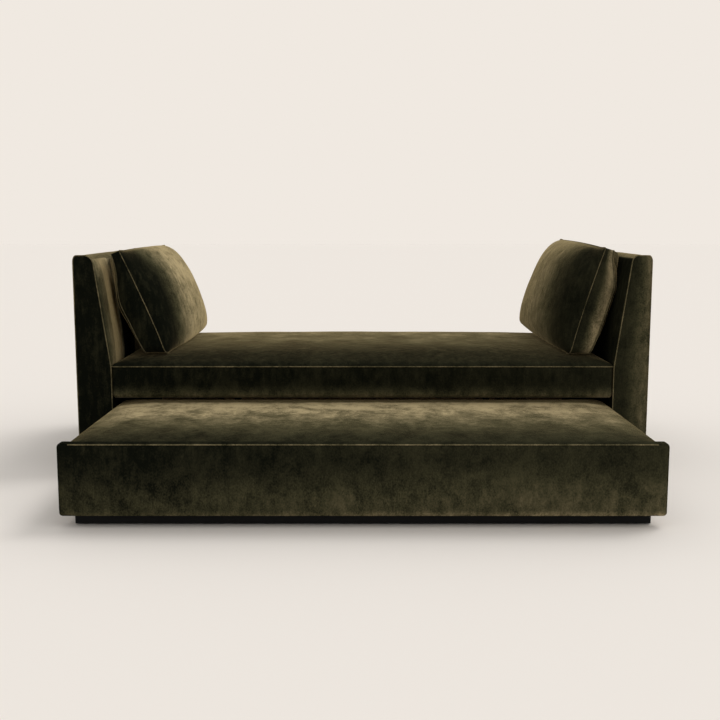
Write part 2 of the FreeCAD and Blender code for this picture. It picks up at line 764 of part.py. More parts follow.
blocks, brackets, axles, screws = [], [], [], []
for row_name, wheel_y in (("front", "wheel_front_y"), ("back", "wheel_back_y")):
    for each in SIDES:
        wheel_x = "wheel_x" if each == "right" else "-wheel_x"
        name = "%s_%s" % (row_name, each)
        plate, fork, gap = "bracket_width / 2", "fork_outer", "fork_gap / 2"
        foot = "wheel_radius - fork_drop"
        right = ((plate, "box_bottom"), (plate, "plate_bottom"), (fork, "plate_bottom"), (fork, foot),
                 (gap, foot), (gap, "plate_bottom"))
        left = tuple(("-(%s)" % x, z) for x, z in right)
        bracket_y = (wheel_y + " - bracket_depth / 2", wheel_y + " + bracket_depth / 2")
        folded = prism(name + "_folded_plate", right + left[::-1], bracket_y)
        folded.setExpression("Placement.Base.x", bind(wheel_x))
        axle_span = ("%s - fork_outer - axle_head" % wheel_x, "%s + fork_outer + axle_head" % wheel_x)
        bore = rod(name + "_axle_bore", "wheel_bore", axle_span, wheel_y, "wheel_radius")
        shank = rod(name + "_axle_shank", "axle_radius", axle_span, wheel_y, "wheel_radius")
        left_head = rod(name + "_axle_head", "axle_head_radius",
                        (axle_span[0], axle_span[0] + " + axle_head"), wheel_y, "wheel_radius")
        right_head = rod(name + "_axle_end", "axle_head_radius",
                         (axle_span[1] + " - axle_head", axle_span[1]), wheel_y, "wheel_radius")
        axles.append(fuse(name + "_axle", [shank, left_head, right_head]))
        screw_holes = []
        for screw_x, screw_y in screw_places(wheel_x, wheel_y):
            screw_z = ("plate_bottom - screw_head", "plate_bottom - screw_head + screw_length")
            hole = post("screw_hole", "screw_radius + thread_clearance", screw_x, screw_y, screw_z)
            stem = post("screw_stem", "screw_radius", screw_x, screw_y, screw_z)
            cap = post("screw_cap", "screw_head_radius", screw_x, screw_y, (screw_z[0], "plate_bottom"))
            screw_holes.append(hole)
            screws.append(fuse("screw", [stem, cap]))
        drilled = group(name + "_screw_holes", screw_holes)
        brackets.append(cut(name + "_bracket", cut(name + "_bracket_bored", folded, bore), drilled))
        block_x = across(each, "box_inner_half - wheel_block", "box_inner_half")
        block_y = (wheel_y + " - wheel_block / 2", wheel_y + " + wheel_block / 2")
        blocks.append(cut(name + "_block", board(name + "_blank", block_x, block_y, bearer_z), drilled))
        node(wheel(name + "_castor", wheel_x, wheel_y), name + "_wheel")
node(group("blocks", blocks), "trundle_wheel_blocks")
node(group("brackets", brackets), "wheel_brackets")
node(group("axles", axles), "wheel_axles")
node(group("screws", screws), "bracket_screws")


# Loose pillows
def turned_over(shape):
    """A shape mirrored top to bottom."""
    return shape.mirror(Vector(), Vector(0, 0, 1))


def pillow_form(inset):
    """The right pillow lying on its full face: drawn-in sides and a flatter crown on its back."""
    half_x = size("pillow_length") / 2 - inset
    half_y = size("pillow_height") / 2 - inset
    half_box = size("pillow_boxing") / 2
    form = (half_x, half_y, size("pillow_corner"), size("pillow_draw_in"))
    back = crown(*form, size("pillow_roll"), size("pillow_back_crown") - inset, half_box)
    face = turned_over(crown(*form, size("pillow_roll"), size("pillow_crown") - inset, half_box))
    sides = Part.makeLoft([outline(*form, z) for z in (-half_box, half_box)], True, True)
    return sides.fuse([back, face]).removeSplitter()


def pillow_place(side, x, z):
    """A pillow on its long edge, leaning out to one side."""
    lean = size("pillow_tilt") if side == "right" else -size("pillow_tilt")
    upright = Rotation(Vector(1, 1, 1), 120)
    place_x = x if side == "right" else -x
    turn = Rotation(Vector(0, 1, 0), lean).multiply(upright)
    return Placement(Vector(place_x, size("middle_y"), z), turn)


def settle(form, arm_cover, seat_cover):
    """Where a pillow comes to rest against the arm and on the seat, a hair clear of both."""
    x = size("bay_half") - size("pillow_height") / 2
    z = size("seat_edge") + size("pillow_height")
    clear = size("soft_clearance")
    for _ in range(SETTLE_STEPS):
        for target in (seat_cover, arm_cover):
            resting = form.copy()
            resting.Placement = pillow_place("right", x, z)
            gap = resting.distToShape(target)[0] - clear
            if target is seat_cover:
                z -= gap
            else:
                x += gap
    return x, z


doc.recompute()
outside = pillow_form(0)
inside = pillow_form(cushion_wall)
pillow_zip_place = Vector(0, size("pillow_draw_in") - size("pillow_height") / 2, 0)
pillow_cover, pillow_zip = covered(outside, inside, size("pillow_zip_length"), pillow_zip_place)
pillow_filling = pillow_form(filling_inset)
arm_solid = doc.getObject("right_arm_outer").Shape
pillow_x, pillow_z = settle(outside, arm_solid, seat_outside.Shape)
for each in SIDES:
    for piece, shape in (("cover", pillow_cover), ("insert", pillow_filling), ("zip", pillow_zip)):
        handed = shape if each == "right" else turned_over(shape)
        pillow_piece = soft("%s_pillow_%s_form" % (each, piece), handed)
        pillow_piece.Placement = pillow_place(each, pillow_x, pillow_z)
        node(pillow_piece, "%s_pillow_%s" % (each, piece))

doc.recompute()
for obj in doc.Objects:
    if "Invalid" in obj.State or "Error" in obj.State:
        raise RuntimeError("%s did not build" % obj.Label)
for obj in nodes:
    if obj.Shape.isNull() or not obj.Shape.isValid() or not obj.Shape.Solids:
        raise RuntimeError("%s has no valid solid" % obj.Label)

os.makedirs("parts", exist_ok=True)
for obj in nodes:
    obj.Shape.exportStep("parts/%s.step" % obj.Label)
print(len(nodes), "sub-parts written, pillow at", round(pillow_x, 1), round(pillow_z, 1))
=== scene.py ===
"""Looks of a trundle daybed in olive velvet: upholstery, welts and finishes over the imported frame.

Metres, +X right, -Y front, +Z up. At rest the trundle is pulled out.
"""
import logging
import math
from dataclasses import dataclass
from enum import Enum
from typing import Optional, Sequence

import bmesh
import bpy
import numpy as np
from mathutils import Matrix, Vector, noise
from mathutils.bvhtree import BVHTree


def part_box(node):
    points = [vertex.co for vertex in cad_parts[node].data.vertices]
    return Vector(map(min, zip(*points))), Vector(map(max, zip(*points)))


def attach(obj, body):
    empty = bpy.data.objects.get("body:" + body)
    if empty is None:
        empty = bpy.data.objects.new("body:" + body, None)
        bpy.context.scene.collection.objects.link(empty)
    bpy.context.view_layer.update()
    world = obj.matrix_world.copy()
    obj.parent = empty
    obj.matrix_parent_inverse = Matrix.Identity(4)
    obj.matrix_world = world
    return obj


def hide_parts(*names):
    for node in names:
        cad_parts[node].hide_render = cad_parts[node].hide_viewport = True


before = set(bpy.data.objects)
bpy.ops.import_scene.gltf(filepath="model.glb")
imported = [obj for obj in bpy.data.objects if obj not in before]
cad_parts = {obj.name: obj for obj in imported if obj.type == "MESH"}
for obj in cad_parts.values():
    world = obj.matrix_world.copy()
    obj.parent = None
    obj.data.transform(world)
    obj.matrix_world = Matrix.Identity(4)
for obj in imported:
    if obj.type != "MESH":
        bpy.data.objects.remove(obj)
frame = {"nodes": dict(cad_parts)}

log = logging.getLogger("daybed")

Object = bpy.types.Object
Material = bpy.types.Material
Socket = bpy.types.NodeSocket
Points = np.ndarray
Mask = np.ndarray
Pair = tuple[float, float]
Colour = tuple[float, float, float]
WHITE: Colour = (1.0, 1.0, 1.0)
X, Y, Z = 0, 1, 2
ON_FACE = 1.0 - 1e-4
TINY = 1e-6
EDGE_BLEND = 4.0
# Light and shade painted into the velvet's colour at each point, together with random strokes of the pile's
# own tone.
PAINTED_LIGHT_AND_NAP = "painted_light_and_nap"
LAID = "laid"
RUFFLE_FADE = 0.9
RUFFLE_STEP = 2.0
RUFFLE_LAYERS = 3
REST_REACH = 0.15
STROKE_WAVES = 11.0
# How much lighter the welt cords are painted, a painted highlight where they would catch the light.
WELT_HIGHLIGHT = 1.3
WELT_FACETS = 2
WELT_ORDER = 3
CLOTH_QUALITY = 6
FACE_SIDES = 4
EVEN_ROUNDS = 80


class Side(Enum):
    """The two ends of the daybed."""

    LEFT = -1
    RIGHT = 1

    @property
    def word(self) -> str:
        """The side's name as the nodes have it."""
        return self.name.lower()


class Slot(Enum):
    """The finishes that the record names."""

    VELVET = "velvet"
    FOAM = "foam"
    PLYWOOD = "plywood"
    PINE = "pine"
    HARDBOARD = "hardboard"
    BLACK_STAIN = "black_stain"
    DUST_CLOTH = "dust_cloth"
    ZINC_STEEL = "zinc_steel"
    BUMPER_RUBBER = "bumper_rubber"
    NYLON = "nylon"
    ZIP_TAPE = "zip_tape"


def ease(distance: Points, roll: float) -> Points:
    """An elliptic roll over an edge, from 0 at the edge to 1 at a roll's width and beyond."""
    part = np.clip(distance / roll, 0.0, 1.0)
    return np.sqrt(1.0 - (1.0 - part) ** 2)


def step(value: Points, low: float, high: float) -> Points:
    """A smooth step, 0 below low and 1 above high."""
    part = np.clip((value - low) / (high - low), 0.0, 1.0)
    return part * part * (3.0 - 2.0 * part)


def between(ends: Sequence[float], part: Points) -> Points:
    """What goes from the first of two ends to the second as a part goes from 0 to 1."""
    return ends[0] + (ends[1] - ends[0]) * part


def nearest(*distances: Points) -> Points:
    """The least of several distances, blended smoothly where they are alike."""
    safe = [np.maximum(each, TINY) for each in distances]
    return sum(each ** -EDGE_BLEND for each in safe) ** (-1.0 / EDGE_BLEND)


def fade(distance: Points, reach: float, power: float) -> Points:
    """What falls from 1 to 0 over a reach, faster at first with a higher power."""
    return np.clip(1.0 - distance / reach, 0.0, 1.0) ** power


def uneven(place: Points, waves: float) -> float:
    """A height above or below 0 at a place of an uneven surface with so many waves to the metre."""
    return noise.fractal(Vector(place) * waves, RUFFLE_FADE, RUFFLE_STEP, RUFFLE_LAYERS)


def round_plan(flat: Points, half: Sequence[float], radius: float) -> Points:
    """Round the four corners of a rectangle full of points.

    Args:
        flat: Points measured from the rectangle's middle, two columns.
        half: The rectangle's half sizes.
        radius: The corners' radius.

    Returns:
        The points, with those in the corner squares laid into quarter discs.
    """
    over = (np.abs(flat) - (np.array(half) - radius)) / radius
    corner = (over > 0).all(axis=1)
    across, along = over[corner, 0], over[corner, 1]
    disc = np.stack((across * np.sqrt(1 - along ** 2 / 2), along * np.sqrt(1 - across ** 2 / 2)), axis=1)
    bent = flat.copy()
    bent[corner] = np.sign(flat[corner]) * (np.array(half) - radius + radius * disc)
    return bent


def gather(unit: Points, pull: float) -> Points:
    """Draw grid lines between -1 and 1 towards the ends, more so with a pull further above 1."""
    return np.sign(unit) * (1.0 - np.maximum(1.0 - np.abs(unit), 0.0) ** pull)


def round_box(places: Points, low: Points, high: Points, radius: float) -> Points:
    """Round the edges and corners of a box of points.

    Args:
        places: The points.
        low: The box's lowest corner, a radius further out where its face keeps its edges.
        high: The box's highest corner, in the same way.
        radius: The round's radius.

    Returns:
        The points, with those near an edge laid on its round.
    """
    core = np.clip(places, low + radius, high - radius)
    out = places - core
    reach = np.maximum(np.linalg.norm(out, axis=1, keepdims=True), TINY)
    return core + out * np.abs(out).max(axis=1, keepdims=True) / reach


def tuck(height: Points, radius: float) -> Points:
    """How far a side turns in at some height above its lower edge, a radius at the edge itself."""
    return radius * (1.0 - ease(height, radius))


def bend_corner(flat: Points, before: Mask, after: Mask, corner: Points, heading: Points,
                leaving: Points, radius: float) -> None:
    """Lay the points near a corner of an outline on the corner's round, in place.

    Args:
        flat: The outline's points, two columns.
        before: Which points lie on the side that runs into the corner.
        after: Which points lie on the side that leaves it.
        corner: The corner itself.
        heading: Unit direction of the side that runs in.
        leaving: Unit direction of the side that leaves.
        radius: The round's radius.
    """
    turn = math.acos(float(heading @ leaving))
    reach = radius * math.tan(turn / 2)
    inward = np.array((-heading[1], heading[0]))
    if inward @ leaving < 0:
        inward = -inward
    centre = corner - heading * reach + inward * radius
    for mask, sign in ((before, -1.0), (after, 1.0)):
        rows = np.flatnonzero(mask)
        away = np.linalg.norm(flat[rows] - corner, axis=1)
        rows, away = rows[away < reach], away[away < reach] * sign
        angle = (turn * (away + reach) / (2 * reach))[:, None]
        flat[rows] = centre + radius * (heading * np.sin(angle) - inward * np.cos(angle))


class Bench:
    """Hand tools that act on one mesh object at a time."""

    @staticmethod
    def pick(obj: Object) -> None:
        """Select one object alone and make it active."""
        bpy.ops.object.select_all(action="DESELECT")
        obj.select_set(True)
        bpy.context.view_layer.objects.active = obj

    @staticmethod
    def block(name: str, low: Points, high: Points, cell: float) -> Object:
        """Add a box and cut each of its faces into a grid.

        Args:
            name: The object's name.
            low: The box's lowest corner.
            high: The box's highest corner.
            cell: The size that each grid face should come near.

        Returns:
            The box, at the origin with its place in its mesh.
        """
        bpy.ops.object.select_all(action="DESELECT")
        bpy.ops.mesh.primitive_cube_add(size=1.0, location=(low + high) / 2)
        obj = bpy.context.object
        obj.name = name
        obj.data.name = name
        obj.scale = high - low
        bpy.ops.object.transform_apply(location=True, rotation=True, scale=True)
        bpy.ops.object.mode_set(mode="EDIT")
        bpy.ops.mesh.select_mode(type="EDGE")
        for axis in (X, Y, Z):
            count = max(2, round(float(high[axis] - low[axis]) / cell))
            first = max(1, round(math.sqrt(count)))
            for cuts in (first - 1, math.ceil(count / first) - 1):
                if cuts:
                    Bench.select_along(obj, axis)
                    bpy.ops.mesh.subdivide(number_cuts=cuts)
        bpy.ops.object.mode_set(mode="OBJECT")
        return obj

    @staticmethod
    def select_along(obj: Object, axis: int) -> None:
        """Select the edges that run along one axis.

        Args:
            obj: The mesh that is being edited.
            axis: The axis's number.
        """
        bpy.ops.mesh.select_all(action="DESELECT")
        mesh = bmesh.from_edit_mesh(obj.data)
        for edge in mesh.edges:
            run = edge.verts[1].co - edge.verts[0].co
            if abs(run[axis]) > ON_FACE * run.length:
                edge.select_set(True)
        bmesh.update_edit_mesh(obj.data)

    @staticmethod
    def read(items: Sequence[object], name: str, width: int, kind: type) -> Points:
        """One kind of number of all of a mesh's points, edges or corners.

        Args:
            items: The points, edges or corners.
            name: What is read of each.
            width: How many numbers each has.
            kind: The numbers' type.

        Returns:
            A row for each item.
        """
        flat = np.empty(len(items) * width, kind)
        items.foreach_get(name, flat)
        return flat.reshape(-1, width)

    @staticmethod
    def subdivide(obj: Object) -> None:
        """Soften a mesh with one level of an applied subdivision surface.

        Args:
            obj: The mesh object.
        """
        soften = obj.modifiers.new("soften", "SUBSURF")
        soften.levels = 1
        Bench.pick(obj)
        bpy.ops.object.modifier_apply(modifier=soften.name)

    @staticmethod
    def smooth(obj: Object, degrees: float) -> None:
        """Shade a mesh smooth, with edges sharper than an angle left crisp."""
        Bench.pick(obj)
        bpy.ops.object.shade_smooth_by_angle(angle=math.radians(degrees))

    @staticmethod
    def cords(name: str, paths: Sequence[Points], radius: float, closed: bool) -> Object:
        """Round welt cords along lines of points.

        Args:
            name: The object's name.
            paths: The points that each cord follows.
            radius: The cords' radius.
            closed: Whether each cord joins its own start.

        Returns:
            The cords as one mesh.
        """
        curve = bpy.data.curves.new(name, "CURVE")
        curve.dimensions = "3D"
        curve.bevel_depth = radius
        curve.bevel_resolution = WELT_FACETS
        curve.resolution_u = WELT_FACETS
        curve.use_fill_caps = not closed
        for path in paths:
            spline = curve.splines.new("NURBS")
            spline.points.add(len(path) - 1)
            weights = np.ones((len(path), 1))
            spline.points.foreach_set("co", np.hstack((path, weights)).ravel())
            spline.order_u = WELT_ORDER
            spline.use_cyclic_u = closed
            spline.use_endpoint_u = not closed
        obj = bpy.data.objects.new(name, curve)
        bpy.context.scene.collection.objects.link(obj)
        Bench.pick(obj)
        bpy.ops.object.convert(target="MESH")
        bpy.ops.object.shade_smooth()
        obj.data.name = name
        return obj

    @staticmethod
    def note(obj: Object, name: str, amount: Points) -> None:
        """Note at each point how much light or shade is painted into the velvet's colour, besides the pile's
        random tone, or the height that its pile is LAID at.
        """
        layer = obj.data.attributes.new(name, "FLOAT", "POINT")
        layer.data.foreach_set("value", amount.astype(np.float32))

    @staticmethod
    def lay(obj: Object, height: Points, part: Mask) -> None:
        """Note the height of the pile's lay on one part of a gridded box, and none elsewhere.

        Args:
            obj: The mesh object, all of whose faces have four sides.
            height: The height at each point.
            part: Which points the part has.
        """
        faces = Bench.read(obj.data.loops, "vertex_index", 1, np.int32).reshape(-1, FACE_SIDES)
        heights = np.where(part[faces].all(axis=1)[:, None], height[faces], 0.0)
        layer = obj.data.attributes.new(LAID, "FLOAT", "CORNER")
        layer.data.foreach_set("value", heights.ravel().astype(np.float32))


@dataclass(frozen=True)
class Swell:
    """How the cloth of a padded piece is blown up.

    Attributes:
        pressure: The air pressure inside.
        cap: The furthest that a point may move.
        held: How far in from a seam the cloth is held.
        drawn: How far in from a seam the cloth shortens.
        shrink: How much it shortens there.
        frames: How many frames the cloth runs for.
        stiffness: How hard the cloth resists stretching.
        bending: How hard the cloth resists bending.
        mass: The weight of each point of the cloth.
    """

    pressure: float
    cap: float
    held: float = 0.03
    drawn: float = 0.06
    shrink: float = 0.0
    frames: int = 18
    stiffness: float = 18.0
    bending: float = 0.5
    mass: float = 0.3

    def free(self, edge: Points) -> Points:
        """How free the cloth is at some distances from its seam, from 0 at the seam to 1."""
        return step(edge, 0.0, self.held)

    def tight(self, edge: Points) -> Points:
        """How much the cloth shortens at some distances from its seam, from 1 at the seam to 0."""
        return 1.0 - step(edge, 0.0, self.drawn)


class Pad:
    """A padded piece: a gridded box that is shaped, blown up and welted.

    Attributes:
        obj: The mesh object.
        low: The box's lowest corner.
        high: The box's highest corner.
        middle: The box's middle.
        half: The box's half sizes.
        unit: Each point's place in the box, from -1 to 1 on each axis.
        links: The two point numbers of each edge.
    """

    def __init__(self, name: str, low: Points, high: Points, cell: float, pull: float) -> None:
        """Cut the box.

        Args:
            name: The piece's name.
            low: The box's lowest corner.
            high: The box's highest corner.
            cell: The size of the grid's faces.
            pull: How much the grid crowds at the box's edges.
        """
        self.low, self.high = np.array(low, float), np.array(high, float)
        self.middle, self.half = (self.low + self.high) / 2, (self.high - self.low) / 2
        self.obj = Bench.block(name, self.low, self.high, cell)
        self.unit = gather((self.points - self.middle) / self.half, pull)
        self.points = self.middle + self.unit * self.half
        self.links = Bench.read(self.obj.data.edges, "vertices", 2, np.int32)

    @property
    def points(self) -> Points:
        """Where the piece's points are now."""
        return Bench.read(self.obj.data.vertices, "co", 3, np.float64)

    @points.setter
    def points(self, places: Points) -> None:
        """Move the piece's points."""
        self.obj.data.vertices.foreach_set("co", places.ravel())
        self.obj.data.update()

    @property
    def normals(self) -> Points:
        """The outward direction at each of the piece's points."""
        return Bench.read(self.obj.data.vertex_normals, "vector", 3, np.float32).astype(np.float64)

    def on(self, axis: int, sign: int) -> Mask:
        """Which points lie on the box's low face, -1, or high face, 1, that is square to an axis."""
        return self.unit[:, axis] * sign > ON_FACE

    def inset(self, axis: int) -> Points:
        """How far in each point lies from the nearer of the box's two faces on an axis."""
        return (1.0 - np.abs(self.unit[:, axis])) * self.half[axis]

    def past(self, axis: int) -> Points:
        """How far each point now lies past the box's low face on an axis."""
        return self.points[:, axis] - self.low[axis]

    def rim(self, axis: int, sign: int) -> Mask:
        """Which points lie on the rim of the low face, -1, or high face, 1, that is square to an axis."""
        others = np.delete(self.unit, axis, axis=1)
        return self.on(axis, sign) & (np.abs(others) > ON_FACE).any(axis=1)

    def line(self, mask: Mask) -> tuple[list[int], bool]:
        """Put the points of a seam in order along the mesh's edges.

        Args:
            mask: Which points the seam has.

        Returns:
            The points' numbers in order, and whether the seam closes.
        """
        inside = mask[self.links].all(axis=1)
        near: dict[int, list[int]] = {}
        for first, second in self.links[inside]:
            near.setdefault(int(first), []).append(int(second))
            near.setdefault(int(second), []).append(int(first))
        ends = sorted(point for point, others in near.items() if len(others) == 1)
        walk = [ends[0] if ends else min(near)]
        seen = set(walk)
        while True:
            ahead = [point for point in near[walk[-1]] if point not in seen]
            if not ahead:
                return walk, not ends
            walk.append(min(ahead))
            seen.add(walk[-1])

    def relax(self, free: Mask, axes: Sequence[int], rounds: int) -> None:
        """Even out some points between their neighbours.

        Args:
            free: Which points may move.
            axes: The axes that they may move along.
            rounds: How many times the points are evened out.
        """
        places = self.points
        links = self.links[free[self.links].any(axis=1)]
        count = np.zeros(len(places))
        np.add.at(count, links.ravel(), 1.0)
        for _ in range(rounds):
            total = np.zeros_like(places)
            np.add.at(total, links[:, 0], places[links[:, 1]])
            np.add.at(total, links[:, 1], places[links[:, 0]])
            for axis in axes:
                places[free, axis] = total[free, axis] / count[free]
        self.points = places

    def swell(self, recipe: Swell, free: Points, tight: Optional[Points] = None) -> None:
        """Blow the piece up by cloth simulation.

        Args:
            recipe: How it is blown up.
            free: How free each point is, from 0, held, to 1.
            tight: How much each point's cloth shrinks, from 0 to 1, or none of it.
        """
        before = self.points
        self.group("held", 1.0 - free)
        self.group("tight", np.zeros(len(free)) if tight is None else tight)
        cloth = self.obj.modifiers.new("swell", "CLOTH")
        settings = cloth.settings
        settings.quality = CLOTH_QUALITY
        settings.mass = recipe.mass
        settings.tension_stiffness = recipe.stiffness
        settings.compression_stiffness = recipe.stiffness
        settings.shear_stiffness = recipe.stiffness / 2
        settings.bending_stiffness = recipe.bending
        settings.use_pressure = True
        settings.uniform_pressure_force = recipe.pressure
        settings.effector_weights.gravity = 0.0
        settings.vertex_group_mass = "held"
        settings.vertex_group_shrink = "tight"
        settings.shrink_min = 0.0
        settings.shrink_max = recipe.shrink
        cloth.collision_settings.use_collision = False
        cloth.collision_settings.use_self_collision = False
        cloth.point_cache.frame_start = 1
        cloth.point_cache.frame_end = recipe.frames
        scene = bpy.context.scene
        for number in range(1, recipe.frames + 1):
            scene.frame_set(number)
        Bench.pick(self.obj)
        bpy.ops.object.modifier_apply(modifier=cloth.name)
        scene.frame_set(1)
        self.obj.vertex_groups.clear()
        move = self.points - before
        far = np.maximum(np.linalg.norm(move, axis=1, keepdims=True), TINY)
        self.points = before + move / far * recipe.cap * np.tanh(far / recipe.cap)
        log.info("%s moved by up to %.1f mm", self.obj.name, far.max() * 1000)

    def ruffle(self, weight: Points, height: float, waves: float) -> None:
        """Leave the cloth a little uneven over its padding.

        Args:
            weight: How uneven each point may be, from 0 to 1.
            height: How far the unevenness goes up and down.
            waves: How many of its waves a metre holds.
        """
        places = self.points
        out = self.normals
        for row in np.flatnonzero(weight > TINY):
            places[row] += out[row] * uneven(places[row], waves) * weight[row] * height
        self.points = places

    def stroked(self, waves: float) -> Points:
        """How far a hand has stroked the pile to and fro, above and below 0, in waves to the metre."""
        return np.array([uneven(place, waves) for place in self.points])

    def rest(self, target: Object, towards: Sequence[float], gap: float) -> None:
        """Press the piece flat where it would go into another one.

        Args:
            target: The piece that it rests on.
            towards: The direction of that piece from this one.
            gap: How far apart they stay.
        """
        tree = BVHTree.FromObject(target, bpy.context.evaluated_depsgraph_get())
        ahead = Vector(towards)
        places = self.points
        for row, place in enumerate(places):
            start = Vector(place) - ahead * REST_REACH
            hit = tree.ray_cast(start, ahead, REST_REACH + gap)[0]
            if hit is not None:
                places[row] = hit - ahead * gap
        self.points = places

    def group(self, name: str, weights: Points) -> None:
        """Add a vertex group.

        Args:
            name: The group's name.
            weights: Each point's weight.
        """
        added = self.obj.vertex_groups.new(name=name)
        for weight in np.unique(np.round(weights, 2)):
            rows = np.flatnonzero(np.round(weights, 2) == weight)
            added.add([int(row) for row in rows], float(weight), "REPLACE")

    def crease(self, masks: Sequence[Mask], amount: float) -> None:
        """Keep seams crisp when the mesh is softened.

        Args:
            masks: The points of each seam.
            amount: How crisp the seams stay, up to 1.
        """
        sharp = np.zeros(len(self.links), np.float32)
        for mask in masks:
            sharp[mask[self.links].all(axis=1)] = amount
        layer = self.obj.data.attributes.new("crease_edge", "FLOAT", "EDGE")
        layer.data.foreach_set("value", sharp)

    def sew(self, name: str, seams: Sequence[Mask], radius: float, proud: float) -> Object:
        """Sew welt cords along the seams of the finished mesh.

        Args:
            name: The cords' name.
            seams: The points of each cord's seam, as the box was first cut. All close, or none does.
            radius: The cords' radius.
            proud: How much of that radius a cord's middle stands out from its seam.

        Returns:
            The cords, as one object.
        """
        surface = self.points + self.normals * radius * proud
        walks, closes = zip(*(self.line(seam) for seam in seams))
        cords = Bench.cords(name, [surface[walk] for walk in walks], radius, closes[0])
        # The cords are painted lighter all along, a painted highlight.
        Bench.note(cords, PAINTED_LIGHT_AND_NAP, np.full(len(cords.data.vertices), WELT_HIGHLIGHT))
        return cords


class Graph:
    """The nodes of a material or a world, built one at a time."""

    def __init__(self, owner: bpy.types.ID) -> None:
        """Open a material's or a world's nodes."""
        owner.use_nodes = True
        self.owner = owner
        self.tree = owner.node_tree

    def feed(self, target: Socket, value: object) -> None:
        """Set an input to a number, a vector or a colour, or link it to a socket.

        Args:
            target: The input.
            value: What it is given.
        """
        if isinstance(value, Socket):
            self.tree.links.new(value, target)
        elif target.type == "RGBA":
            target.default_value = (*value, 1.0)
        else:
            target.default_value = value

    def add(self, kind: str, inputs: Optional[dict[str, object]] = None,
            **settings: object) -> bpy.types.Node:
        """Add a node.

        Args:
            kind: The node's type.
            inputs: What its inputs are given, by name.
            settings: Its settings, by attribute name.

        Returns:
            The node.
        """
        node = self.tree.nodes.new(kind)
        for name, value in settings.items():
            setattr(node, name, value)
        for name, value in (inputs or {}).items():
            self.feed(node.inputs[name], value)
        return node

    def place(self, scale: Sequence[float] = (1.0, 1.0, 1.0)) -> Socket:
        """Object coordinates, stretched along each axis."""
        source = self.add("ShaderNodeTexCoord").outputs["Object"]
        return self.add("ShaderNodeMapping", {"Vector": source, "Scale": scale}).outputs["Vector"]

    def noise(self, vector: Socket, scale: float, detail: float = 2.0,
              roughness: float = 0.5, distortion: float = 0.0) -> Socket:
        """A noise pattern.

        Args:
            vector: Where the pattern is read.
            scale: How fine it is, in features per metre.
            detail: How many finer layers it has.
            roughness: How strong those layers are.
            distortion: How much it swirls.

        Returns:
            The pattern's value.
        """
        inputs = {"Vector": vector, "Scale": scale, "Detail": detail, "Roughness": roughness,
                  "Distortion": distortion}
        return self.add("ShaderNodeTexNoise", inputs).outputs["Fac"]

    def axis(self, vector: Socket, number: int) -> Socket:
        """The part of a vector along the axis of a number."""
        return self.add("ShaderNodeSeparateXYZ", {"Vector": vector}).outputs[number]

    def range(self, value: Socket, start: Sequence[float],
              end: Sequence[float]) -> Socket:
        """Carry a value from the range that it comes from to the one that it goes to."""
        limits = dict(zip(("From Min", "From Max", "To Min", "To Max"), (*start, *end)))
        return self.add("ShaderNodeMapRange", {"Value": value, **limits}).outputs["Result"]

    def blend(self, factor: Socket, first: object, second: object) -> Socket:
        """Mix two colours.

        Args:
            factor: How much of the second colour shows.
            first: A colour, or a socket that gives one.
            second: A colour, or a socket that gives one.

        Returns:
            The mixed colour.
        """
        node = self.add("ShaderNodeMix", {"Factor": factor}, data_type="RGBA")
        colours = [each for each in node.inputs if each.type == "RGBA"]
        for target, colour in zip(colours, (first, second)):
            self.feed(target, colour)
        return next(each for each in node.outputs if each.type == "RGBA")

    def math(self, operation: str, *values: object) -> Socket:
        """Work out a number.

        Args:
            operation: What is done with the values.
            values: Numbers, or sockets that give them.

        Returns:
            The result.
        """
        node = self.add("ShaderNodeMath", operation=operation)
        for target, value in zip(node.inputs, values):
            self.feed(target, value)
        return node.outputs[0]

    def sum(self, first: Socket, second: Socket,
            share: float) -> Socket:
        """Add a share of a second value to a first."""
        return self.math("MULTIPLY_ADD", second, share, first)

    def noted(self, name: str) -> Socket:
        """What is noted at each point of a mesh under a name, or 0."""
        return self.add("ShaderNodeAttribute", attribute_name=name).outputs["Fac"]

    def bump(self, height: Socket, strength: float, depth: float,
             under: Optional[Socket] = None) -> Socket:
        """Bump a surface.

        Args:
            height: The height pattern.
            strength: How strong the bump is.
            depth: The height in metres that a value of 1 stands for.
            under: A bump that this one lies on.

        Returns:
            The bumped normal.
        """
        inputs = {"Strength": strength, "Distance": depth, "Height": height}
        if under is not None:
            inputs["Normal"] = under
        return self.add("ShaderNodeBump", inputs).outputs["Normal"]

    def finish(self, **values: object) -> Material:
        """Set the principled shader's inputs.

        Args:
            values: What each input is given, by its name with underscores for spaces.

        Returns:
            The material.
        """
        shader = next(each for each in self.tree.nodes if each.type == "BSDF_PRINCIPLED")
        for name, value in values.items():
            self.feed(shader.inputs[name.replace("_", " ")], value)
        return self.owner


